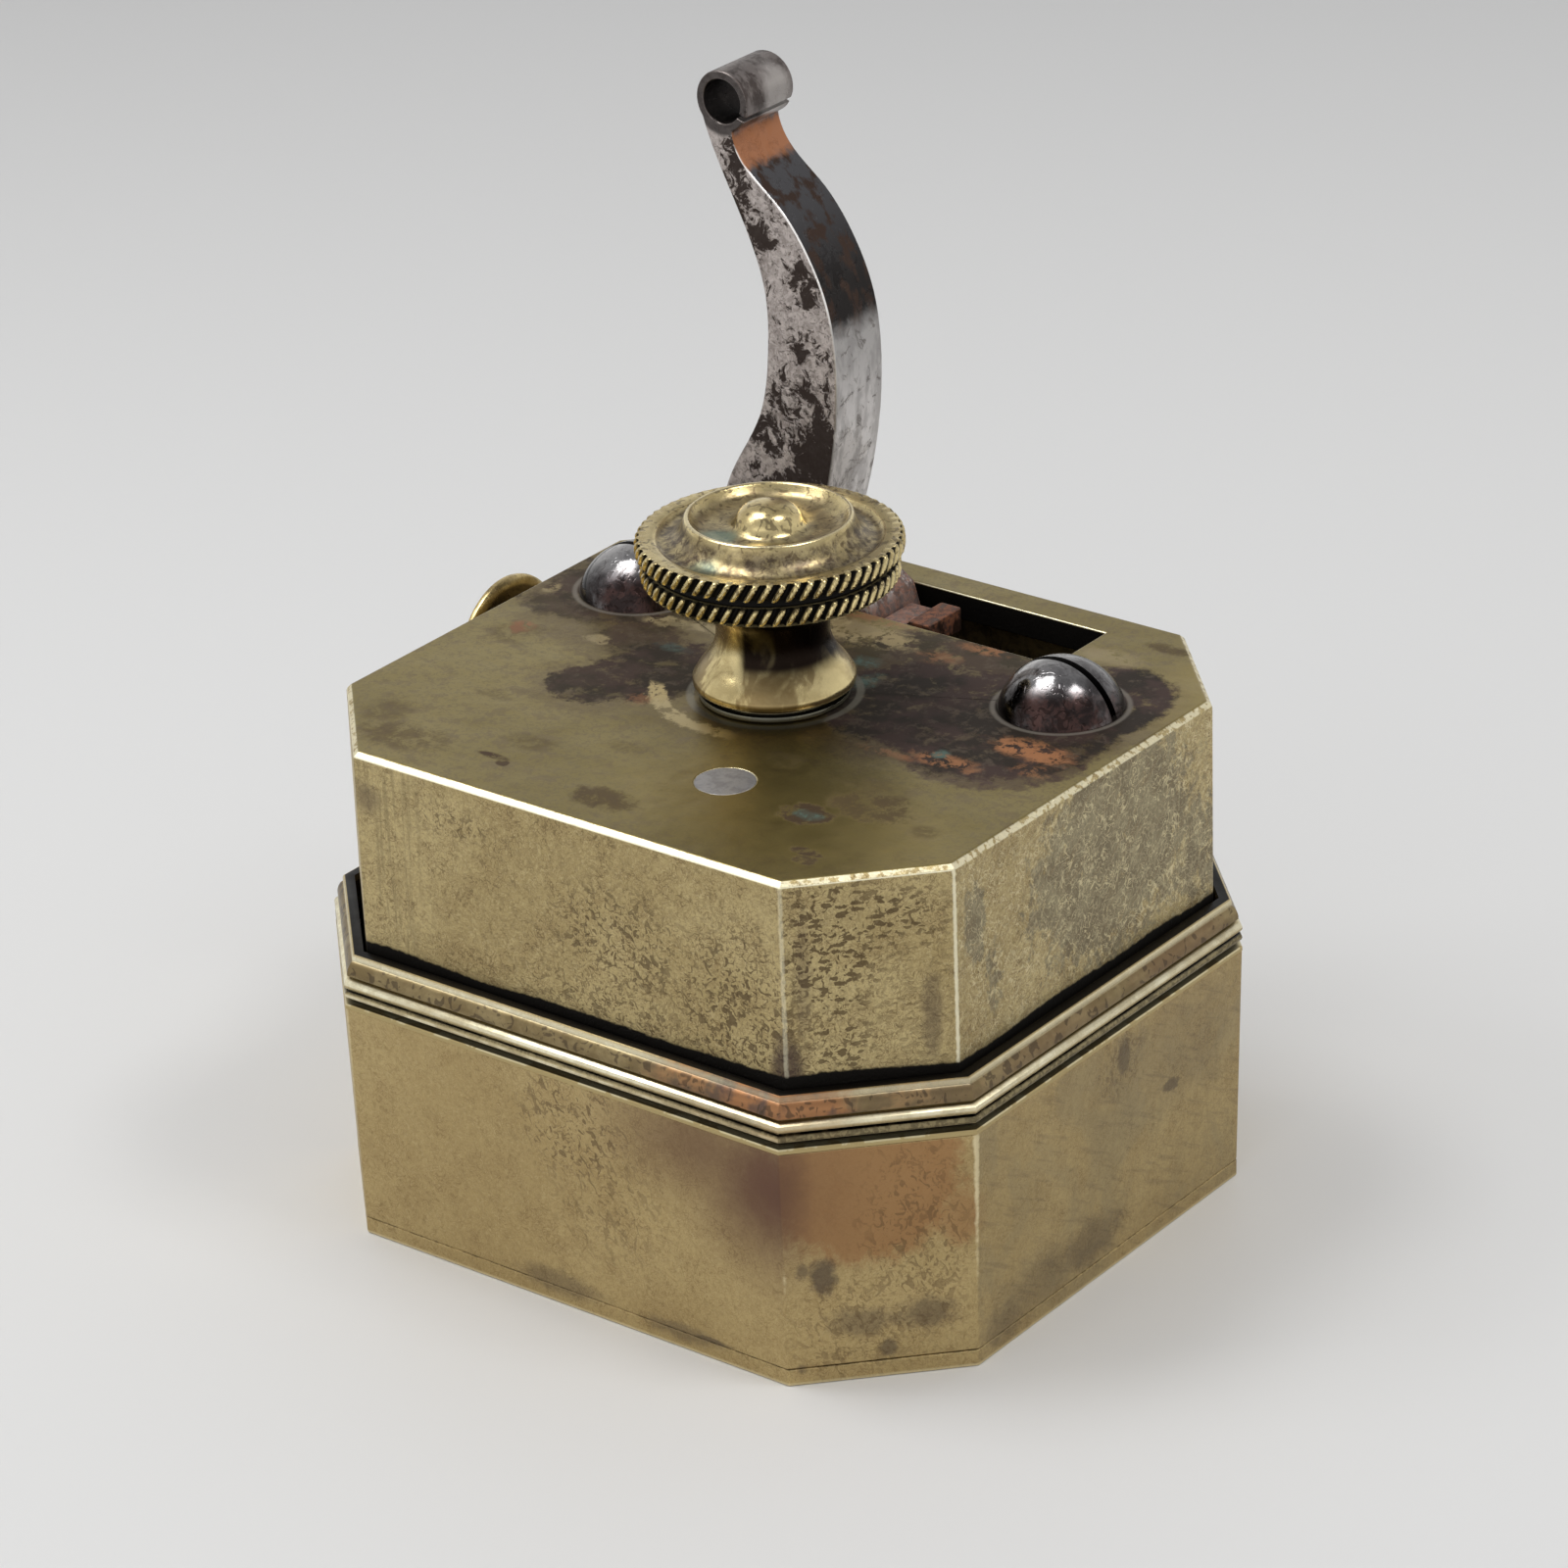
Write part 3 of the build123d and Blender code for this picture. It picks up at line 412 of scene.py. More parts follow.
    dark_tone = s.mix(s.mul(s.ramp(mottle, 0.53, 0.62), 0.6), dark_tone, (0.11, 0.085, 0.062))
    dark = s.mul(dark, s.ramp(s.noise(0.55, 6, 0.7, 0.3, shift=61), 0.36, 0.47, 0.55, 1.0))
    s.paint(dark_tone, dark)
    bare = plate_spots(s, [
        (-0.6, 8.9, 3.4, 1.3, 0.3, 0.9, 0.8), (-10.8, 4.2, 1.6, 0.7, 0.3, 0.9, 0.75),
        (-8.3, 4.7, 1.2, 0.5, 0.3, 0.9, 0.75), (-12.4, 0.2, 0.9, 0.6, 0.3, 0.9, 0.7),
        (-19.2, 4.3, 0.5, 0.7, 0.3, 0.6, 0.6), (12.6, 13.6, 2.0, 0.9, 0.4, 0.8, 0.5),
    ])
    s.paint((0.40, 0.32, 0.17), bare, s.ramp(mottle, 0.42, 0.50))
    copper = plate_spots(s, [
        (15.9, 1.4, 2.3, 1.0, 0.4, 0.8, 0.9), (12.9, -2.1, 2.0, 0.7, 0.4, 0.9, 0.7),
        (9.6, -2.9, 1.5, 0.4, 0.5, 1.1, 0.6), (6.4, 10.6, 1.5, 0.5, 0.5, 1.0, 0.6),
        (4.8, 8.4, 1.2, 0.7, 0.5, 1.2, 0.4), (-17.2, -0.9, 0.7, 0.8, 0.4, 0.9, 0.85),
        (-1.5, 11.0, 2.4, 0.7, 0.5, 1.0, 0.6), (-5.6, -4.6, 0.7, 0.9, 0.5, 0.9, 0.35),
        (17.6, -0.6, 1.2, 0.7, 0.5, 0.9, 0.5),
    ])
    s.paint(COPPER, copper, s.ramp(mottle, 0.44, 0.52))
    brown = plate_spots(s, [
        (0.5, -15.6, 2.0, 1.1, 0.3, 0.9, 0.75), (-7.6, -14.7, 1.1, 0.3, 0.2, 0.5, 1.0),
        (-6.7, -15.1, 0.4, 0.35, 0.2, 0.5, 0.9), (10.5, -11.3, 1.5, 1.2, 0.15, 0.7, 1.0),
        (12.8, -8.7, 2.4, 1.7, 0.25, 0.8, 0.8), (11.6, -6.9, 1.6, 1.0, 0.5, 0.9, 0.4),
        (13.2, -14.8, 1.0, 0.4, 0.15, 0.7, 1.0), (13.8, -15.6, 0.7, 0.5, 0.15, 0.7, 0.9),
        (5.7, -6.6, 1.0, 0.8, 0.5, 0.9, 0.45), (-13.4, -15.4, 2.6, 1.4, 0.5, 1.1, 0.6),
        (-16.2, -13.4, 1.2, 1.6, 0.5, 1.0, 0.45), (-7.0, -12.3, 1.6, 0.8, 0.5, 1.0, 0.45),
        (-17.0, -1.6, 1.3, 1.3, 0.5, 0.8, 0.5), (14.9, 16.2, 1.3, 0.5, 0.4, 0.9, 0.7),
        (-2.5, -10.0, 1.2, 0.6, 0.5, 1.0, 0.3), (17.0, -9.6, 0.8, 0.6, 0.5, 0.9, 0.5),
        (-12.6, -8.6, 1.2, 0.5, 0.5, 1.0, 0.35),
    ])
    brown = s.mul(brown, s.ramp(mottle, 0.40, 0.52, 0.35, 1.0))
    s.paint((0.062, 0.038, 0.028), brown, 0.9)
    green = plate_spots(s, [
        (10.7, -11.3, 0.8, 0.5, 0.35, 0.8, 0.9), (1.9, 5.9, 0.9, 0.6, 0.4, 0.9, 0.8),
        (3.4, 3.8, 0.6, 1.0, 0.4, 0.9, 0.7), (12.2, -1.5, 0.45, 0.5, 0.4, 0.8, 0.7),
        (-8.2, 1.6, 1.0, 0.5, 0.5, 1.0, 0.35),
    ])
    s.paint((0.12, 0.19, 0.16), green, s.ramp(mottle, 0.45, 0.55, 1.0, 0.3))

    # Scraped arc to the front left of the knob, pale ring at its base, rings round the screws
    ax, ay = s.plus(s.x, 0.4), s.plus(s.y, -0.7)
    radius = s.plus(s.length(ax, ay), s.swing(s.ragged, 1.6))
    arc = s.band(radius, 5.95, 6.2, 6.9, 7.2)
    arc = s.mul(arc, s.fall(s.plus(ax, s.mul(ay, 0.3)), -1.4, 0.6), s.fall(ay, -3.6, -3.0))
    arc = s.mul(arc, s.ramp(mottle, 0.40, 0.47, 0.2, 1.0))
    s.paint((0.52, 0.42, 0.22), arc, 0.9)
    knob_r = s.length(s.x, s.y)
    halo = s.band(knob_r, 4.35, 4.5, 4.75, 4.95)
    s.paint((0.25, 0.235, 0.19), halo, 0.6)
    for cx, cy in SCREW_CENTRES.values():
        dx, dy = s.plus(s.x, -cx), s.plus(s.y, -cy)
        ring_r = s.length(dx, dy)
        ring = s.band(ring_r, 3.5, 3.65, 3.75, 3.95)
        s.paint((0.26, 0.235, 0.20), ring, 0.55)
    plate_rough = s.plus(s.mul(s.most(dark, brown), 0.28), s.plus(0.32, s.mul(s.middle, 0.10)))
    s.colour = s.mix(top, wall, s.colour)
    rough = s.plus(s.mul(top, plate_rough), s.mul(s.invert(top), rough))

    # Painted shade, with some grime, in the gap where the wall meets the moulding, and painted shade on
    # everything inside the box
    swell = s.plus(s.mul(s.noise(0.11, 1), 0.9), s.mul(s.noise(1.6, 5, 0.65, shift=19), 0.30))
    gap_shade_height = s.plus(swell, LIP_TOP - 0.15)
    grime_and_shade = s.fall(s.math("SUBTRACT", s.z, gap_shade_height), -0.05, 0.12)
    covered = s.fall(s.z, LIP_TOP - 0.45, LIP_TOP - 0.2)
    s.paint((0.15, 0.105, 0.055), covered, 0.75)
    grime_and_shade = s.mul(grime_and_shade, s.invert(covered))
    # painted shade below the plate, inside the box
    below_plate = s.fall(s.z, TOP - 0.12, TOP - 0.04)
    within = s.mul(inside_octagon(s, HOUSING_HALF, HOUSING_LEG, 0.55), below_plate)
    grime_and_shade = s.mul(s.most(grime_and_shade, within), below_plate)
    s.paint(GRIME_AND_SHADE, grime_and_shade)

    # Bright edges, partly worn brass and partly painted highlight: broad along the front, broken up
    # elsewhere
    rim = s.band(s.nz, 0.25, 0.5, 0.8, 0.95)
    front_rim = s.to_front(0.5, 0.62)
    broken = s.ramp(s.noise(2.6, 3, 0.6, shift=29), 0.40, 0.52)
    rim = s.mul(rim, s.most(front_rim, s.mul(broken, 0.55)))
    edges = s.most(
        s.mul(edge_line(s, hx, -hy + HOUSING_LEG[1], 0.16, WALL_TOP, TOP), 0.7),
        s.mul(edge_line(s, hx - HOUSING_LEG[0], -hy, 0.18, WALL_TOP, TOP), 0.30),
    )
    wear_and_highlight = s.mul(s.most(edges, rim), s.invert(grime_and_shade))
    s.paint(BRASS_WEAR_AND_HIGHLIGHT, wear_and_highlight)
    metallic = s.plus(0.97, s.mul(s.most(s.mul(dark, top, 0.3), grime_and_shade), -0.8))
    return s.finish(s.plus(rough, s.mul(grime_and_shade, 0.2)), metallic, 0.12)


def cover_brass():
    s, rough = start_brass("cover_brass")
    hx, hy = COVER_HALF
    cx, cy = hx - COVER_LEG[0], hy - COVER_LEG[1]
    s.paint((0.43, 0.305, 0.135), 0.42)
    right = s.ramp(s.nx, 0.85, 0.95)
    chamfer = s.ramp(s.math("SUBTRACT", s.nx, s.ny), 1.25, 1.36)
    film = s.mul(right, s.ramp(s.noise(0.2, 5, 0.6, 0.5, shift=7), 0.42, 0.62))
    s.paint(GREY_FILM, film, 0.30)
    scuffs = s.noise(1.0, 3, 0.6, 0.0, s.stretch((1.0, 0.3, 3.0), s.turn(30, (1, 0, 0))))
    s.paint((0.20, 0.15, 0.09), s.ramp(scuffs, 0.52, 0.68), right, 0.3)

    orange = spots(s, [
        ((cx + 3.0, -hy + 3.2, 12.2), (5.2, 5.4, 5.0), 0.14, 0.35, 1.0),
        ((hx - 0.6, -cy - 0.8, 9.4), (1.3, 1.5, 1.8), 0.35, 0.8, 0.8),
    ])
    s.paint((0.33, 0.178, 0.078), orange, s.most(chamfer, 0.35), 0.85)
    violet = spots(s, [
        ((cx - 0.2, -hy, 11.8), (4.6, 3, 4.2), 0.95, 0.25, 1.0),
        ((cx - 4.8, -hy, 13.0), (5.2, 3, 2.8), 0.95, 0.4, 0.7),
    ])
    over_edge = spots(s, [((cx, -hy, 11.6), (1.5, 1.5, 3.8), 0.95, 0.4, 0.85)])
    violet = s.most(s.mul(violet, s.to_front(0.75, 0.95, 0.3, 1.0)), over_edge)
    s.paint((0.155, 0.085, 0.058), violet)
    grey = spots(s, [
        ((cx + 1.5, -hy + 1.5, 6.5), (0.75, 0.75, 1.1), 0.3, 0.7, 0.95),
        ((cx + 0.7, -hy + 0.7, 6.9), (0.4, 0.4, 0.5), 0.4, 0.8, 0.7),
        ((cx + 5.3, -hy + 5.4, 3.7), (1.5, 1.5, 0.9), 0.4, 0.9, 0.7),
        ((cx + 2.9, -hy + 3.0, 3.5), (1.7, 1.7, 0.8), 0.5, 1.0, 0.6),
        ((cx + 3.8, -hy + 4.0, 1.8), (0.5, 0.5, 0.6), 0.35, 0.8, 0.8),
        ((cx + 0.6, -hy + 0.6, 1.0), (0.35, 0.35, 0.4), 0.3, 0.6, 0.85),
        ((hx, -10.0, 1.6), (2, 1.8, 1.1), 0.5, 0.9, 0.55),
        ((hx, -2.0, 2.6), (2, 3.0, 1.2), 0.5, 0.9, 0.6),
        ((hx, -6.5, 2.4), (2, 3.4, 1.5), 0.6, 1.0, 0.4),
        ((hx, 6.0, 11.0), (2, 6.0, 3.0), 0.6, 1.0, 0.3),
        ((hx, 1.0, 12.6), (2, 0.55, 1.1), 0.4, 1.0, 0.75),
        ((hx, 5.6, 8.8), (2, 0.9, 0.4), 0.3, 1.3, 0.8),
        ((-0.9, -hy, 1.3), (2.6, 2, 0.7), 0.5, 0.9, 0.55),
        ((7.6, -hy, 1.0), (2.4, 2, 0.5), 0.5, 0.9, 0.6),
        ((9.4, -hy, 1.1), (1.3, 2, 0.2), 0.4, 0.9, 0.85),
    ])
    s.paint((0.085, 0.065, 0.055), grey, 0.8)
    patch = spots(s, [
        ((1.0, -hy, 11.4), (3.4, 3, 3.4), 0.5, 0.8, 0.9),
        ((3.0, -hy, 7.6), (3.6, 3, 3.4), 0.6, 0.8, 0.5),
        ((hx - 2.2, -cy - 2.4, 8.0), (2.6, 2.8, 6.0), 0.5, 0.7, 0.7),
        ((cx + 2.6, -hy + 2.6, 3.0), (3.0, 3.0, 3.2), 0.6, 0.7, 0.6),
        ((hx, 0.8, 12.4), (2, 2.0, 1.8), 0.6, 0.8, 0.5),
    ])
    leaning = s.stretch((2.2, 2.2, 1.3), s.turn(28, (0, 1, 0)))
    flecks = s.most(specks(s, 1.0, 0.56, 0.06, 3, leaning), s.mul(specks(s, 2.8, 0.57, 0.05, 23), 0.7))
    pits = s.mul(flecks, s.plus(0.10, patch))
    s.paint((0.12, 0.075, 0.04), pits, 0.62)
    s.bump(pits, 0.5, -0.06)

    foot_line = s.mul(level_line(s, FOOT_LINE, 0.02, 0.09), s.ramp(s.ragged, 0.42, 0.6))
    # painted shade inside the box; the foot seam line is a dark joint
    grime_and_shade = s.mul(inside_octagon(s, COVER_HALF, COVER_LEG, 0.7), s.ramp(s.z, 0.03, 0.12))
    s.paint(GRIME_AND_SHADE, s.most(grime_and_shade, s.mul(foot_line, 0.55)))
    # bright upright edges and bottom edge: worn brass with painted highlight
    wear_and_highlight = s.most(
        s.mul(edge_line(s, hx, -cy, 0.26, 0.0, WALL_TOP), 0.8),
        s.mul(edge_line(s, cx, -hy, 0.26, 0.0, 7.0), 0.8),
        s.mul(edge_line(s, -cx, -hy, 0.2, 0.0, WALL_TOP), 0.5),
        s.ramp(s.z, 0.08, 0.26, 0.65, 0.0),
    )
    s.paint((0.78, 0.68, 0.43), wear_and_highlight, s.invert(grime_and_shade))
    # painted shade: faces that look down are browner
    under = s.fall(s.nz, -0.95, -0.8)
    s.paint(BRASS_BROWN, under, s.ramp(s.middle, 0.4, 0.6), 0.5)
    return s.finish(rough, s.plus(0.97, s.mul(grime_and_shade, -0.7)), 0.2)


def moulding_brass():
    s, rough = start_brass("moulding_brass")
    hx, hy = COVER_HALF
    s.paint((0.55, 0.46, 0.27), 0.45)
    cove = s.band(s.z, COVE[0], COVE[0] + 0.1, COVE[1] - 0.12, COVE[1])
    s.paint((0.185, 0.135, 0.065), cove, s.ramp(s.middle, 0.38, 0.62, 0.7, 0.95))
    near = spots(s, [
        ((hx - 7.4, -hy + 0.6, 16.4), (5.0, 3.2, 3), 0.4, 0.6, 1.0),
        ((hx - 12.0, -hy, 16.4), (3.6, 2, 3), 0.5, 0.7, 0.7),
        ((hx - 2.0, -hy + 5.2, 16.4), (3.0, 3.0, 3), 0.6, 0.8, 0.35),
    ])
    copper = s.mix(s.ramp(s.middle, 0.42, 0.58), (0.36, 0.165, 0.075), (0.12, 0.075, 0.065))
    s.paint(copper, near, s.ramp(s.z, 15.95, 16.05, 0.25, 0.85))
    wall = s.fall(s.z, GROOVE[0], GROOVE[0] + 0.04)
    s.paint(BRASS_MID, wall)
    chipped = s.mul(wall, s.ramp(s.z, 14.24, 14.34), s.ramp(s.middle, 0.46, 0.50))
    s.paint((0.64, 0.56, 0.34), chipped)
    rust_right = spots(s, [
        ((hx, 7.0, 16.4), (2, 4.0, 2), 0.5, 0.9, 0.6),
        ((hx, -6.0, 16.3), (2, 5.0, 1), 0.6, 0.9, 0.4),
    ])
    s.paint((0.20, 0.125, 0.07), rust_right, cove)
    s.paint((0.07, 0.05, 0.035), specks(s, 1.5, 0.56, 0.05, 41), cove, 0.65)
    # painted shade: the groove floor, the shelf where the housing rises, the line under the cove and the
    # bead's waist are near-black
    floor = s.band(s.z, GROOVE[0], GROOVE[0] + 0.04, GROOVE[1], GROOVE[1] + 0.07)
    shelf = s.mul(s.ramp(s.z, LIP_TOP - 0.03, LIP_TOP - 0.01), s.ramp(s.nz, 0.7, 0.9))
    floor = s.most(floor, shelf)
    line = level_line(s, COVE_LINE, 0.05, 0.13)
    face_on = s.to_front(0.8, 0.95, 1.0, 0.2)
    waist = s.mul(level_line(s, BEAD_WAIST, 0.05, 0.13), face_on)
    waist = s.mul(waist, s.ramp(s.middle, 0.36, 0.5, 0.6, 1.0))
    low_band = s.mul(s.band(s.z, 14.69, 14.74, 15.22, 15.32), face_on, 0.8)
    low_tone = s.mix(s.ramp(s.fine, 0.42, 0.58), (0.20, 0.165, 0.09), (0.06, 0.05, 0.03))
    s.paint(low_tone, low_band)
    s.paint(GRIME_AND_SHADE, s.most(floor, s.mul(line, 0.6), waist))
    # painted highlights along the lip, the bead and the low bead; the lip's is brighter and the low bead's
    # is only on faces that look to the front
    lip = s.mul(s.band(s.z, 16.76, 16.86, 17.10, 17.16), s.ramp(s.ragged, 0.35, 0.5, 0.9, 0.6))
    bead = s.mul(s.band(s.z, 15.45, 15.55, 15.75, 15.84), s.ramp(s.ragged, 0.4, 0.6, 0.9, 0.5))
    bead = s.mul(bead, s.ramp(s.broad, 0.42, 0.58, 0.6, 1.0))
    low_bead = s.mul(s.band(s.z, 14.74, 14.80, 14.92, 15.0), s.ramp(s.middle, 0.4, 0.55, 0.6, 0.15))
    lip = s.mul(lip, s.ramp(face_on, 0.25, 0.9, 1.0, 0.5))
    low_bead = s.mul(low_bead, s.fall(face_on, 0.25, 0.6))
    bright = s.mul(s.most(lip, bead, low_bead), s.invert(s.most(floor, s.mul(near, 0.6))))
    s.paint((0.95, 0.90, 0.68), bright)
    return s.finish(s.plus(rough, -0.10), s.plus(0.97, s.mul(floor, -0.9)), 0.12)


def knob_brass():
    s, rough = start_brass("knob_brass")
    radius = s.length(s.x, s.y)
    height = s.plus(s.z, -TOP)
    s.paint(s.mix(s.ramp(s.middle, 0.4, 0.62), (0.70, 0.58, 0.30), (0.52, 0.415, 0.20)), 0.75)
    # painted reflection: below the head the stem is near-black except along its left edge as the camera
    # sees it
    side = s.plus(s.mul(s.x, CAMERA_COS), s.mul(s.y, CAMERA_SIN))
    below_head = s.fall(height, 6.75, 6.95)
    dark_reflection = s.mul(below_head, s.ramp(height, 2.0, 2.9), s.ramp(side, -2.1, -1.5))
    flow = s.noise(0.5, 4, 0.6, 0.5, s.stretch((1, 1, 0.4)), 33)
    stem = s.mul(below_head, s.ramp(flow, 0.46, 0.58), 0.7)
    s.paint((0.16, 0.10, 0.04), stem)
    s.paint((0.012, 0.008, 0.006), dark_reflection, s.ramp(flow, 0.3, 0.5, 0.88, 1.0))
    ring = s.mul(s.band(radius, 4.5, 4.75, 5.95, 6.2), s.ramp(height, 8.6, 8.9))
    dish = s.mul(s.band(radius, 1.9, 2.2, 4.0, 4.3), s.ramp(height, 8.6, 8.9))
    film = s.mul(s.most(ring, s.mul(dish, 0.7)), s.ramp(s.ragged, 0.35, 0.6, 0.35, 1.0))
    blotch = s.noise(1.3, 6, 0.72, 0.4, shift=53)
    film_tone = s.mix(s.ramp(blotch, 0.42, 0.58), (0.20, 0.16, 0.10), (0.075, 0.055, 0.038))
    s.paint(film_tone, film)
    freckles = s.mul(specks(s, 2.0, 0.58, 0.05, 57), s.ramp(height, 7.0, 7.4))
    s.paint((0.09, 0.06, 0.035), freckles, 0.6)
    green = spots(s, [
        ((-1.4, -2.6, TOP + 9.8), (1.0, 0.8, 1.5), 0.4, 0.9, 0.6),
        ((-0.2, -5.5, TOP + 9.2), (0.8, 0.5, 1.5), 0.5, 0.9, 0.4),
    ])
    s.paint(VERDIGRIS, green)
    edge_ring = s.mul(s.band(radius, 4.3, 4.38, 4.5, 4.58), s.ramp(height, 10.2, 10.4))
    s.paint((0.80, 0.70, 0.45), edge_ring, 0.6)
    lower = s.mul(s.band(height, 6.86, 6.95, 7.85, 7.95), s.fall(radius, 6.84, 6.98))
    upper = s.mul(s.band(height, 7.9, 8.0, 9.28, 9.4), s.fall(radius, 7.08, 7.22))
    rims = s.mul(s.most(lower, upper), s.ramp(radius, 6.2, 6.4))
    waist = s.band(height, 7.84, 7.92, 8.36, 8.44)
    under = s.band(height, 0.40, 0.46, 0.66, 0.74)
    washer = s.fall(height, 0.38, 0.44)
    s.paint((0.11, 0.115, 0.10), washer, 0.9)
    # painted shade in the rope grooves, the waist between the rims and the gap under the head
    grime_and_shade = s.most(rims, waist, under)
    s.paint(GRIME_AND_SHADE, grime_and_shade)
    rough = s.plus(0.20, s.plus(s.mul(s.middle, 0.10), s.mul(s.most(film, stem), 0.12)))
    return s.finish(s.plus(rough, s.mul(grime_and_shade, 0.3)), s.plus(0.98, s.mul(grime_and_shade, -0.9)), 0.12)


def lever_steel():
    s = Shader("lever_steel")
    s.ragged = s.noise(0.9, 6, 0.7, 0.5, shift=2)
    front = s.ramp(s.math("ABSOLUTE", s.ny), 0.6, 0.85)
    pit_field = s.noise(1.1, 7, 0.76, 0.8, shift=7)
    small = s.noise(3.0, 5, 0.7, 0.6, shift=9)
    y = LEVER_FRONT
    crowd = spots(s, [
        ((-10.4, y, 52.6), (0.9, 3, 2.8), 0.5, 0.6, 0.15), ((-9.0, y, 49.9), (1.2, 3, 1.3), 0.5, 0.6, 0.15),
        ((-5.8, y, 47.6), (1.2, 3, 1.5), 0.5, 0.6, 0.15), ((-6.1, y, 43.5), (1.3, 3, 1.4), 0.5, 0.6, 0.10),
        ((-6.4, y, 40.3), (2.4, 3, 2.6), 0.5, 0.6, 0.11), ((-8.8, y, 38.3), (1.6, 3, 1.3), 0.5, 0.6, 0.13),
        ((-5.4, y, 37.2), (1.7, 3, 2.4), 0.5, 0.6, 0.25), ((-6.6, y, 34.6), (3.2, 3, 1.8), 0.5, 0.6, 0.22),
        ((-9.0, y, 34.6), (1.6, 3, 2.4), 0.5, 0.8, 0.10),
    ])
    pits = s.ramp(s.plus(pit_field, crowd), 0.575, 0.625)
    freckles = specks(s, 3.0, 0.58, 0.05, 41)
    face = s.mix(s.ramp(small, 0.35, 0.65), (0.56, 0.50, 0.475), (0.33, 0.29, 0.27))
    face = s.mix(s.mul(s.ramp(s.ragged, 0.5, 0.62), 0.5), face, (0.22, 0.185, 0.17))
    face = s.mix(s.mul(s.most(pits, s.mul(freckles, 0.5)), 0.95), face, (0.036, 0.024, 0.02))
    upper = s.ramp(s.plus(s.z, s.swing(s.ragged, 1.6)), 44.3, 45.8)
    grain = s.noise(1.0, 3, 0.6, 0.0, s.stretch((1.2, 1.2, 0.5)), 17)
    brushed = s.mix(s.ramp(grain, 0.4, 0.6), (0.66, 0.63, 0.61), (0.46, 0.435, 0.42))
    brushed = s.mix(s.mul(s.ramp(s.z, 38.0, 44.8), 0.55), brushed, (0.26, 0.25, 0.245))
    night = s.mix(s.ramp(s.z, 47.0, 53.5), (0.022, 0.019, 0.018), (0.085, 0.083, 0.088))
    night = s.mix(s.ramp(grain, 0.48, 0.62), night, (0.05, 0.03, 0.022))
    edge_face = s.mix(upper, brushed, night)
    pocks = s.mul(s.ramp(pit_field, 0.55, 0.61), s.invert(upper), 0.6)
    edge_face = s.mix(pocks, edge_face, (0.17, 0.15, 0.14))
    curl = s.ramp(s.z, 55.2, 55.8)
    barrel = s.mix(s.ramp(grain, 0.42, 0.6), (0.19, 0.165, 0.155), (0.075, 0.06, 0.055))
    polished = s.blob((-10.0, 14.4, 57.0), (1.6, 1.1, 1.8), 0.4, 0.5)
    barrel = s.mix(s.mul(polished, 0.8), barrel, (0.42, 0.39, 0.37))
    edge_face = s.mix(curl, edge_face, barrel)
    s.colour = s.mix(front, edge_face, face)
    # painted highlight along the edge between the front face and the edge face, from about 45 to 54 mm up
    arris_highlight = s.mul(s.ramp(s.nx, 0.22, 0.34), s.to_front(0.30, 0.42))
    arris_highlight = s.mul(arris_highlight, s.ramp(s.z, 44.5, 46.5, 0.35, 1.0), s.fall(s.z, 54.4, 54.9))
    s.paint((0.86, 0.84, 0.82), arris_highlight)
    rust = s.most(
        s.mul(s.blob((-9.8, 13.7, 54.6), (2.0, 5, 1.0), 0.25, 0.5), s.invert(front)),
        s.mul(s.fall(s.z, 29.3, 32.0), s.ramp(s.noise(0.7, 5, 0.7, shift=21), 0.40, 0.52)),
        s.mul(s.ramp(s.x, -2.4, -2.0), s.ramp(s.x, 0.4, 0.5, 0.95, 0.15)),
    )
    rust_tone = s.mix(s.ramp(small, 0.42, 0.58), (0.25, 0.085, 0.034), (0.085, 0.034, 0.02))
    rust_tone = s.mix(s.ramp(s.z, 50.0, 51.0), rust_tone, (0.44, 0.175, 0.07))
    s.paint((0.075, 0.048, 0.036), s.ramp(s.x, 0.4, 0.5))
    s.paint(rust_tone, rust, 0.85)
    hollow = s.blob((CURL[0], 13.7, CURL[1]), (1.32, 9, 1.32), 0.06, 0.05)
    end_face = s.blob((CURL[0], LEVER_FRONT, CURL[1]), (1.95, 0.5, 1.95), 0.08, 0.05)
    s.paint((0.05, 0.042, 0.04), end_face, s.invert(hollow), front, 0.9)
    # painted shade: the hollow of the curl is near-black
    s.paint((0.012, 0.009, 0.008), hollow, 0.97)
    # painted shade on the lever below the plate, inside the box
    below = s.fall(s.z, 27.0, 27.5)
    s.paint((0.05, 0.035, 0.028), below)
    s.bump(pits, 0.5, -0.08)
    s.bump(small, 0.3, 0.03)
    rough = s.plus(s.mul(s.most(pits, rust), 0.28), s.plus(0.33, s.mul(small, 0.14)))
    return s.finish(rough, s.plus(0.92, s.mul(rust, -0.6)))


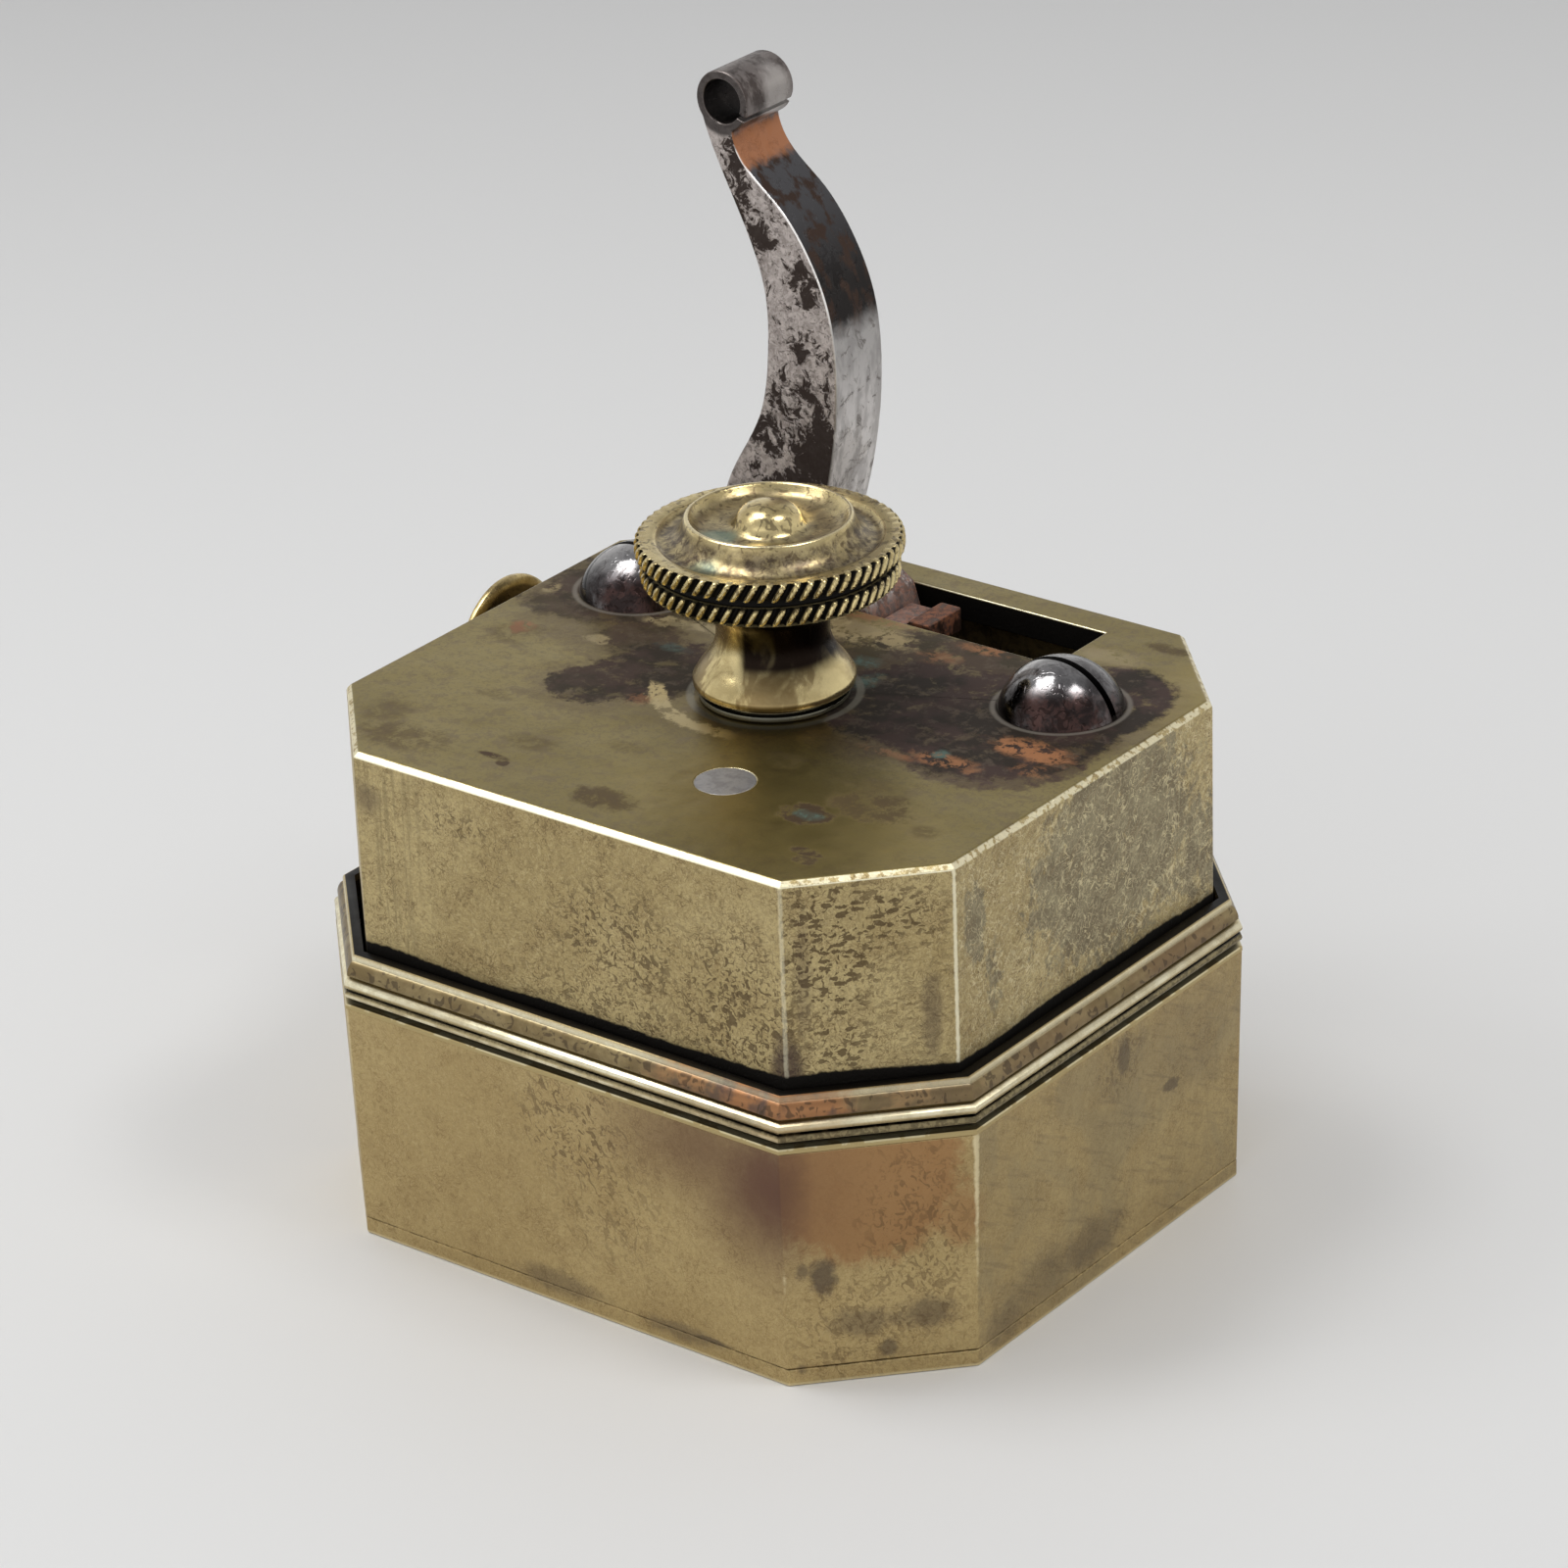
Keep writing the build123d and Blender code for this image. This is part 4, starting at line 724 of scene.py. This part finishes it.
def screw_steel():
    s = Shader("screw_steel")
    s.ragged = s.noise(0.75, 6, 0.68, 0.5, shift=2)
    field = s.noise(0.9, 6, 0.7, 0.6, shift=15)
    s.colour = s.mix(s.ramp(field, 0.40, 0.62), (0.145, 0.14, 0.143), (0.065, 0.06, 0.062))
    table = []
    shade = []
    crown_highlight = []
    for cx, cy in SCREW_CENTRES.values():
        table.append(((cx + 1.7, cy - 2.4, TOP + 0.6), (2.6, 2.2, 1.5), 0.4, 0.9, 0.9))
        table.append(((cx + 2.6, cy + 0.6, TOP + 0.4), (1.2, 2.2, 0.9), 0.4, 0.9, 0.7))
        shade.append(((cx - 2.3, cy - 2.4, TOP), (2.4, 1.9, 1.5), 0.35, 0.5, 1.0))
        crown_highlight.append(((cx - 0.4, cy - 0.9, TOP + 2.6), (2.3, 1.5, 1.5), 0.5, 0.35, 1.0))
    rust = spots(s, table)
    rust_tone = s.mix(s.ramp(field, 0.42, 0.58), (0.048, 0.015, 0.010), (0.016, 0.009, 0.008))
    s.paint(rust_tone, rust, 0.9)
    s.paint((0.018, 0.015, 0.015), spots(s, shade))
    # pale crown of each dome: worn steel with painted highlight
    wear_and_highlight = spots(s, crown_highlight)
    s.paint((0.40, 0.39, 0.39), wear_and_highlight, s.ramp(field, 0.36, 0.6, 1.0, 0.55))
    pits = s.mul(specks(s, 1.8, 0.57, 0.05, 25), s.plus(0.35, s.mul(rust, 0.6)))
    s.paint((0.02, 0.013, 0.012), pits, 0.75)
    # painted shade in the slots, darker with depth
    slot_depth = s.fall(s.z, SLOT_FLOOR + 0.06, SLOT_FLOOR + 0.45)
    in_slot = 0.0
    for _, cy in SCREW_CENTRES.values():
        across = s.math("ABSOLUTE", s.plus(s.y, -cy))
        in_slot = s.most(in_slot, s.fall(across, 0.225, 0.25))
    s.paint(GRIME_AND_SHADE, in_slot, s.plus(0.25, s.mul(slot_depth, 0.7)))
    s.bump(pits, 0.3, -0.04)
    s.bump(field, 0.12, 0.04)
    return s.finish(s.plus(0.13, s.mul(s.most(rust, in_slot), 0.22)), 1.0)


def plain_metal(name, light, dark, rough, tarnish, scale=0.8):
    """Metal with mottled tarnish for the pieces inside and for small fittings."""
    s = Shader(name)
    field = s.noise(scale, 6, 0.68, 0.5, shift=15)
    fine = s.noise(scale * 4, 4, 0.65, shift=5)
    s.colour = s.mix(s.mul(s.ramp(field, 0.42, 0.64), tarnish), light, dark)
    s.paint(dark, s.ramp(fine, 0.55, 0.72), 0.4)
    s.bump(fine, 0.25, 0.02)
    return s.finish(s.plus(rough, s.mul(field, 0.15)), 0.97)


def button_brass():
    s = Shader("button_brass")
    field = s.noise(0.9, 5, 0.65, 0.5, shift=15)
    fine = s.noise(3.2, 4, 0.65, shift=5)
    low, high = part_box("trigger_button")
    cy, cz = (low.y + high.y) / 2 / MM, (low.z + high.z) / 2 / MM
    dy, dz = s.plus(s.y, -cy), s.plus(s.z, -cz)
    radius = s.length(dy, dz)
    s.colour = s.mix(s.ramp(field, 0.42, 0.62), (0.62, 0.49, 0.24), (0.36, 0.27, 0.12))
    s.paint((0.14, 0.09, 0.05), s.ramp(fine, 0.52, 0.66), 0.4)
    # painted shade on the back of the head, the side facing the body
    behind = s.mul(s.ramp(s.nx, 0.3, 0.6), s.ramp(radius, 3.55, 3.75, 1.0, 0.2))
    s.paint((0.05, 0.035, 0.02), behind, s.ramp(field, 0.35, 0.6, 0.95, 0.75))
    s.bump(fine, 0.2, 0.02)
    return s.finish(s.plus(0.18, s.mul(field, 0.15)), 0.97)


MATERIALS = {
    "housing": housing_brass(),
    "cover": cover_brass(),
    "moulding": moulding_brass(),
    "knob": knob_brass(),
    "lever": lever_steel(),
    "screw": screw_steel(),
    "pin": plain_metal("pin_steel", (0.44, 0.44, 0.46), (0.24, 0.23, 0.24), 0.38, 0.6, 1.6),
    "blade": plain_metal("blade_steel", (0.55, 0.55, 0.56), (0.16, 0.13, 0.12), 0.22, 0.6),
    "steel": plain_metal("inner_steel", (0.20, 0.19, 0.185), (0.05, 0.035, 0.03), 0.35, 0.8),
    "brass": plain_metal("inner_brass", (0.26, 0.19, 0.085), (0.045, 0.032, 0.02), 0.35, 0.8),
    "button": button_brass(),
}


# ------------------------------------------------------------------ mesh helpers
def new_object(name, bm):
    mesh = bpy.data.meshes.new(name)
    bm.to_mesh(mesh)
    bm.free()
    piece = bpy.data.objects.new(name, mesh)
    bpy.context.scene.collection.objects.link(piece)
    return piece


def smooth(mesh, sharp_angle):
    for polygon in mesh.polygons:
        polygon.use_smooth = True
    mesh.set_sharp_from_angle(angle=math.radians(sharp_angle))


def make_object(name, bm, material, body, sharp_angle=32):
    bmesh.ops.recalc_face_normals(bm, faces=bm.faces)
    piece = new_object(name, bm)
    smooth(piece.data, sharp_angle)
    piece.data.materials.append(MATERIALS[material])
    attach(piece, body)
    return piece


def round_edges(piece, width_mm, angle=28):
    """Small bevel on every edge sharper than angle degrees."""
    bevel = piece.modifiers.new("bevel", "BEVEL")
    bevel.width = width_mm * MM
    bevel.segments = 2
    bevel.limit_method = "ANGLE"
    bevel.angle_limit = math.radians(angle)
    bevel.harden_normals = True


def cut_box(piece, low, high):
    """Subtracts the box from low to high, in mm, from the piece."""
    bm = bmesh.new()
    bmesh.ops.create_cube(bm, size=1.0)
    cutter = new_object("cutter", bm)
    middle = Matrix.Translation([(a + b) / 2 * MM for a, b in zip(low, high)])
    cutter.matrix_world = middle @ Matrix.Diagonal([(b - a) * MM for a, b in zip(low, high)] + [1.0])
    bpy.context.view_layer.update()
    modifier = piece.modifiers.new("cut", "BOOLEAN")
    modifier.operation = "DIFFERENCE"
    modifier.solver = "EXACT"
    modifier.object = cutter
    graph = bpy.context.evaluated_depsgraph_get()
    mesh = bpy.data.meshes.new_from_object(piece.evaluated_get(graph))
    piece.modifiers.clear()
    piece.data = mesh
    bpy.data.objects.remove(cutter)
    smooth(mesh, 32)


def revolve(profile, segments, place, wobble=None):
    """Closed surface of revolution; profile is (radius, height), ends may touch the axis.
    wobble gives a change of radius for a profile row and an angle."""
    bm = bmesh.new()
    rings = []
    for row, (radius, height) in enumerate(profile):
        if radius < 1e-6:
            rings.append([bm.verts.new(place(0, 0, height))])
            continue
        ring = []
        for k in range(segments):
            angle = 2 * math.pi * k / segments
            r = radius + (wobble(row, angle) if wobble else 0.0)
            ring.append(bm.verts.new(place(r * math.cos(angle), r * math.sin(angle), height)))
        rings.append(ring)
    for lower, upper in zip(rings, rings[1:]):
        for k in range(segments):
            after = (k + 1) % segments
            if len(lower) == 1 and len(upper) == 1:
                continue
            if len(lower) == 1:
                bm.faces.new((lower[0], upper[after], upper[k]))
            elif len(upper) == 1:
                bm.faces.new((lower[k], lower[after], upper[0]))
            else:
                bm.faces.new((lower[k], lower[after], upper[after], upper[k]))
    return bm


def octagon_corners(half, leg, inset):
    """Eight corners, counter-clockwise, of an octagon moved inwards by inset."""
    hx, hy = half[0] - inset, half[1] - inset
    lx, ly = leg[0] - CHAMFER_LEG_GROWTH * inset, leg[1] - CHAMFER_LEG_GROWTH * inset
    quarter = [(hx, hy - ly), (hx - lx, hy)]
    corners = []
    for sx, sy in ((1, 1), (-1, 1), (-1, -1), (1, -1)):
        pair = [(sx * x, sy * y) for x, y in quarter]
        corners += pair if sx * sy > 0 else pair[::-1]
    return corners


def catmull(points, steps):
    """Smooth curve through the given points."""
    ends = [points[0], *points, points[-1]]
    curve = []
    for i in range(len(points) - 1):
        a, b, c, d = (Vector(p) for p in ends[i:i + 4])
        for k in range(steps):
            t = k / steps
            p = b * 2 + (c - a) * t + (a * 2 - b * 5 + c * 4 - d) * t**2 + (b * 3 - a - c * 3 + d) * t**3
            curve.append(p / 2)
    curve.append(Vector(points[-1]))
    return curve


# ------------------------------------------------------------------ moulding round the cover
def build_moulding():
    inner = 1.2
    profile = [
        (inner, WALL_TOP), (0.0, WALL_TOP), (0.0, 14.32), (0.04, 14.38), (0.60, 14.41), (0.60, 14.67),
        (0.14, 14.70), (0.04, 14.78), (0.0, 14.90), (0.03, 15.02), (0.12, 15.12), (0.20, 15.17),
        (0.18, 15.24), (0.06, 15.31), (0.0, 15.42), (0.0, 15.54), (0.06, 15.68), (0.22, 15.80),
        (0.45, 15.85), (0.50, 15.92), (0.42, 15.99), (0.20, 16.02), (0.20, 16.20), (0.27, 16.45),
        (0.40, 16.68), (0.56, 16.82), (0.54, 16.92), (0.55, 17.06), (0.62, 17.16), (0.72, LIP_TOP),
        (inner, LIP_TOP),
    ]
    bm = bmesh.new()
    rings = []
    for inset, z in profile:
        corners = octagon_corners(COVER_HALF, COVER_LEG, inset)
        rings.append([bm.verts.new((x * MM, y * MM, z * MM)) for x, y in corners])
    for lower, upper in zip(rings, rings[1:] + rings[:1]):
        for k in range(8):
            after = (k + 1) % 8
            bm.faces.new((lower[k], lower[after], upper[after], upper[k]))
    piece = make_object("moulding_band", bm, "moulding", "cover", 28)
    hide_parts("cover_moulding")


# ------------------------------------------------------------------ depth knob with rope-cut rims
TEETH = 60
LOWER_RIM = (7.05, 6.95, 7.85)
UPPER_RIM = (7.30, 8.42, 9.34)


def build_knob():
    stem = [(4.46, 1.15), (4.10, 1.75), (3.50, 2.55), (3.15, 3.4), (3.12, 4.2), (3.35, 5.1), (4.1, 5.95)]
    profile = [(0, 0.05), (4.05, 0.05), (4.15, 0.09), (4.17, 0.2), (4.12, 0.34), (3.75, 0.38), (3.72, 0.62)]
    profile += [(4.0, 0.68), (4.32, 0.72), (4.44, 0.82)]
    profile += [(p.x, p.y) for p in catmull(stem, 4)]
    profile += [(5.2, 6.4), (6.2, 6.7), (6.6, 6.8), (6.85, 6.88)]
    rims = {}
    rows = 7
    for rim in (LOWER_RIM, UPPER_RIM):
        radius, low, high = rim
        for k in range(rows):
            t = k / (rows - 1)
            rims[len(profile)] = (t, rim)
            profile.append((radius - 0.13 * (2 * t - 1) ** 4, low + (high - low) * t))
        if rim is LOWER_RIM:
            profile += [(6.7, 7.88), (6.5, 7.93), (6.45, 8.1), (6.5, 8.34), (6.75, 8.38)]
    profile += [(7.02, 9.39), (6.6, 9.38), (6.25, 9.35), (6.1, 9.27), (6.0, 9.15), (5.8, 9.1), (5.4, 9.2)]
    profile += [(5.0, 9.5), (4.75, 9.85), (4.64, 10.2), (4.58, 10.42), (4.48, 10.5), (4.36, 10.5)]
    profile += [(4.25, 10.4)]
    profile += [(4.1, 10.12), (3.8, 9.92), (3.3, 9.8), (2.7, 9.76), (2.2, 9.82), (1.95, 9.98), (1.8, 10.3)]
    profile += [(1.55, 10.72), (1.2, 10.98), (0.8, 11.11), (0.4, 11.18), (0, 11.2)]

    def rope(row, angle):
        if row not in rims:
            return 0.0
        t, rim = rims[row]
        lean = 0.75 if rim is UPPER_RIM else 0.7
        phase = (angle / (2 * math.pi) * TEETH - lean * t) % 1.0
        strand = abs(phase - 0.5) * 2.0
        groove = min(1.0, max(0.0, (strand - 0.30) / 0.42))
        return -0.38 * groove * groove * (3 - 2 * groove) - 0.04 * strand**2

    def place(x, y, z):
        return x * MM, y * MM, (TOP + z) * MM

    knob = revolve(profile, TEETH * 12, place, rope)
    piece = make_object("rope_edged_knob", knob, "knob", "knob", 50)
    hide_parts("depth_knob")


# ------------------------------------------------------------------ domed slotted screws
def build_screw(side):
    low, high = SCREWS[side]
    cx, cy = SCREW_CENTRES[side]
    head_r = (high.x - low.x) / 2 / MM
    dome = high.z / MM - TOP
    ball_r = (head_r**2 + dome**2) / (2 * dome)
    steps = 18
    start = math.asin(head_r / ball_r)
    profile = [(0, -0.1), (head_r - 0.02, -0.1), (head_r - 0.02, 0.0)]
    for k in range(steps + 1):
        a = start * (1 - k / steps)
        profile.append((ball_r * math.sin(a), dome - ball_r + ball_r * math.cos(a)))
    profile[-1] = (0, dome)

    def place(x, y, z):
        height = TOP + max(z, 0.0) + 0.002 if z > -0.05 else TOP - 0.1
        return (cx + x) * MM, (cy + y) * MM, height * MM

    head = revolve(profile, 96, place)
    head = make_object(f"domed_screw_{side}", head, "screw", "housing")
    half = SLOT_WIDTH / 2
    cut_box(head, (cx - 5, cy - half, SLOT_FLOOR), (cx + 5, cy + half, TOP + dome + 1.0))
    round_edges(head, 0.07, 35)
    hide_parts(f"frame_screw_{side}")


# ------------------------------------------------------------------ trigger button
def build_button():
    low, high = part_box("trigger_button")
    cy, cz = (low.y + high.y) / 2 / MM, (low.z + high.z) / 2 / MM
    face, back = low.x / MM, high.x / MM
    radius = (high.y - low.y) / 2 / MM
    profile = [
        (0, back), (1.6, back), (2.6, back - 0.05), (3.4, back - 0.2), (radius - 0.15, back - 0.32),
        (radius - 0.02, back - 0.42), (radius, back - 0.55), (radius - 0.03, face + 0.1),
        (radius - 0.16, face), (radius - 0.45, face + 0.02), (3.2, face + 0.16), (2.2, face + 0.27),
        (1.0, face + 0.3), (0, face + 0.3),
    ]

    def place(x, y, z):
        return z * MM, (cy + x) * MM, (cz + y) * MM

    piece = make_object("dished_button", revolve(profile, 96, place), "button", "trigger")
    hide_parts("trigger_button")


# ------------------------------------------------------------------ cocking lever with its stepped finger
def build_lever():
    lever = bpy.data.objects.new("stepped_finger_lever", NODES["cocking_lever"].data.copy())
    bpy.context.scene.collection.objects.link(lever)
    cut_box(lever, (-1.7, LEVER_FRONT - 1.0, 28.5), (0.45, 14.76, 29.3))
    lever.data.materials.clear()
    lever.data.materials.append(MATERIALS["lever"])
    round_edges(lever, 0.16)
    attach(lever, "lever")
    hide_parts("cocking_lever")


build_lever()
build_moulding()
build_knob()
for screw_side in SCREWS:
    build_screw(screw_side)
build_button()


# ------------------------------------------------------------------ carried-over nodes
def dress(node, material, bevel_mm):
    """Gives a CAD node its material and softly rounded edges."""
    piece = NODES[node]
    piece.data.materials.clear()
    piece.data.materials.append(MATERIALS[material])
    weld = piece.modifiers.new("weld", "WELD")
    weld.merge_threshold = 0.002 * MM
    if bevel_mm:
        round_edges(piece, bevel_mm)


DRESSED = {
    "upper_housing": ("housing", 0.10),
    "cover_walls": ("cover", 0.12),
    "slit_plate": ("cover", 0.10),
    "spring_stud": ("pin", 0.04),
    "trigger_stem": ("pin", 0.0),
}
REPLACED = {
    "cocking_lever", "cover_moulding", "depth_knob", "frame_screw_left", "frame_screw_right",
    "trigger_button",
}
SLOT_LOOK = {"blade_steel": "blade", "steel": "steel"}
slots = {part["node"]: part["material_slot"] for part in frame["record"]["subparts"]}
for node_name in NODES:
    if node_name in REPLACED:
        continue
    look, rounding = DRESSED.get(node_name, (SLOT_LOOK.get(slots[node_name], "brass"), 0.05))
    dress(node_name, look, rounding)


# ------------------------------------------------------------------ floor, light and camera
def stage_floor():
    bm = bmesh.new()
    bmesh.ops.create_grid(bm, x_segments=2, y_segments=2, size=3.0)
    floor = new_object("floor", bm)
    floor.location.z = -0.02 * MM
    s = Shader("floor_pale")
    # painted light falloff: the floor is darker further from the camera
    depth = s.math("SUBTRACT", s.mul(s.y, CAMERA_COS), s.mul(s.x, CAMERA_SIN))
    s.colour = s.mix(s.ramp(depth, 20, 420), (0.80, 0.80, 0.795), (0.43, 0.43, 0.43))
    floor.data.materials.append(s.finish(0.6, 0.0))


def area_light(name, place, size, power, shine_only=False):
    light = bpy.data.lights.new(name, "AREA")
    light.shape = "RECTANGLE"
    light.size, light.size_y = size[0] * MM, size[1] * MM
    light.energy = power
    lamp = bpy.data.objects.new(name, light)
    bpy.context.scene.collection.objects.link(lamp)
    lamp.location = Vector(place) * MM
    lamp.visible_diffuse = not shine_only
    direction = Vector(LIGHT_TARGET) * MM - lamp.location
    lamp.rotation_euler = direction.to_track_quat("-Z", "Y").to_euler()


def world_light():
    world = bpy.data.worlds.new("studio")
    bpy.context.scene.world = world
    world.use_nodes = True
    tree = world.node_tree
    background = tree.nodes["Background"]
    coords = tree.nodes.new("ShaderNodeTexCoord")
    parts = tree.nodes.new("ShaderNodeSeparateXYZ")
    height = tree.nodes.new("ShaderNodeMapRange")
    height.inputs["From Min"].default_value = -0.1
    height.inputs["From Max"].default_value = 0.9
    blend = tree.nodes.new("ShaderNodeMix")
    blend.data_type = "RGBA"
    blend.inputs[6].default_value = (0.62, 0.62, 0.61, 1)
    blend.inputs[7].default_value = (0.20, 0.20, 0.205, 1)
    tree.links.new(coords.outputs["Generated"], parts.inputs[0])
    tree.links.new(parts.outputs[2], height.inputs["Value"])
    tree.links.new(height.outputs[0], blend.inputs[0])
    tree.links.new(blend.outputs[2], background.inputs["Color"])
    background.inputs["Strength"].default_value = 1.85


LIGHT_TARGET = (0, 0, 25)                        # mm
CAMERA_TARGET = (1.55, -1.52, 24.47)             # mm
CAMERA_DISTANCE = 324.74
CAMERA_AZIMUTH, CAMERA_ELEVATION, CAMERA_ROLL = 38.114, 25.506, -2.142
CAMERA_LENS = 137.417


def stage_camera():
    a, e, roll = (math.radians(v) for v in (CAMERA_AZIMUTH, CAMERA_ELEVATION, CAMERA_ROLL))
    back = Vector((math.sin(a) * math.cos(e), -math.cos(a) * math.cos(e), math.sin(e)))
    right = (-back).cross(Vector((0, 0, 1))).normalized()
    up = right.cross(-back)
    right_rolled = right * math.cos(roll) + up * math.sin(roll)
    up_rolled = up * math.cos(roll) - right * math.sin(roll)
    camera_data = bpy.data.cameras.new("camera")
    camera_data.lens = CAMERA_LENS
    camera_data.sensor_width = 36
    camera_data.clip_start = 0.01
    camera_data.clip_end = 20
    camera = bpy.data.objects.new("camera", camera_data)
    bpy.context.scene.collection.objects.link(camera)
    turn = Matrix((right_rolled, up_rolled, back)).transposed().to_4x4()
    place = (Vector(CAMERA_TARGET) + back * CAMERA_DISTANCE) * MM
    camera.matrix_world = Matrix.Translation(place) @ turn
    bpy.context.scene.camera = camera


stage_floor()
world_light()
area_light("key_left", (-150, -60, 430), (135, 110), 0.34)
area_light("key_right", (190, 40, 400), (105, 85), 0.27)
area_light("shine_left", (-160, -64, 440), (230, 190), 0.80, True)
area_light("shine_right", (196, 42, 410), (150, 120), 0.34, True)
area_light("edge_light", (-270, -200, 380), (150, 130), 0.26)
area_light("front_fill", (60, -520, 260), (500, 260), 0.24)
stage_camera()
bpy.context.scene.view_settings.view_transform = "Standard"
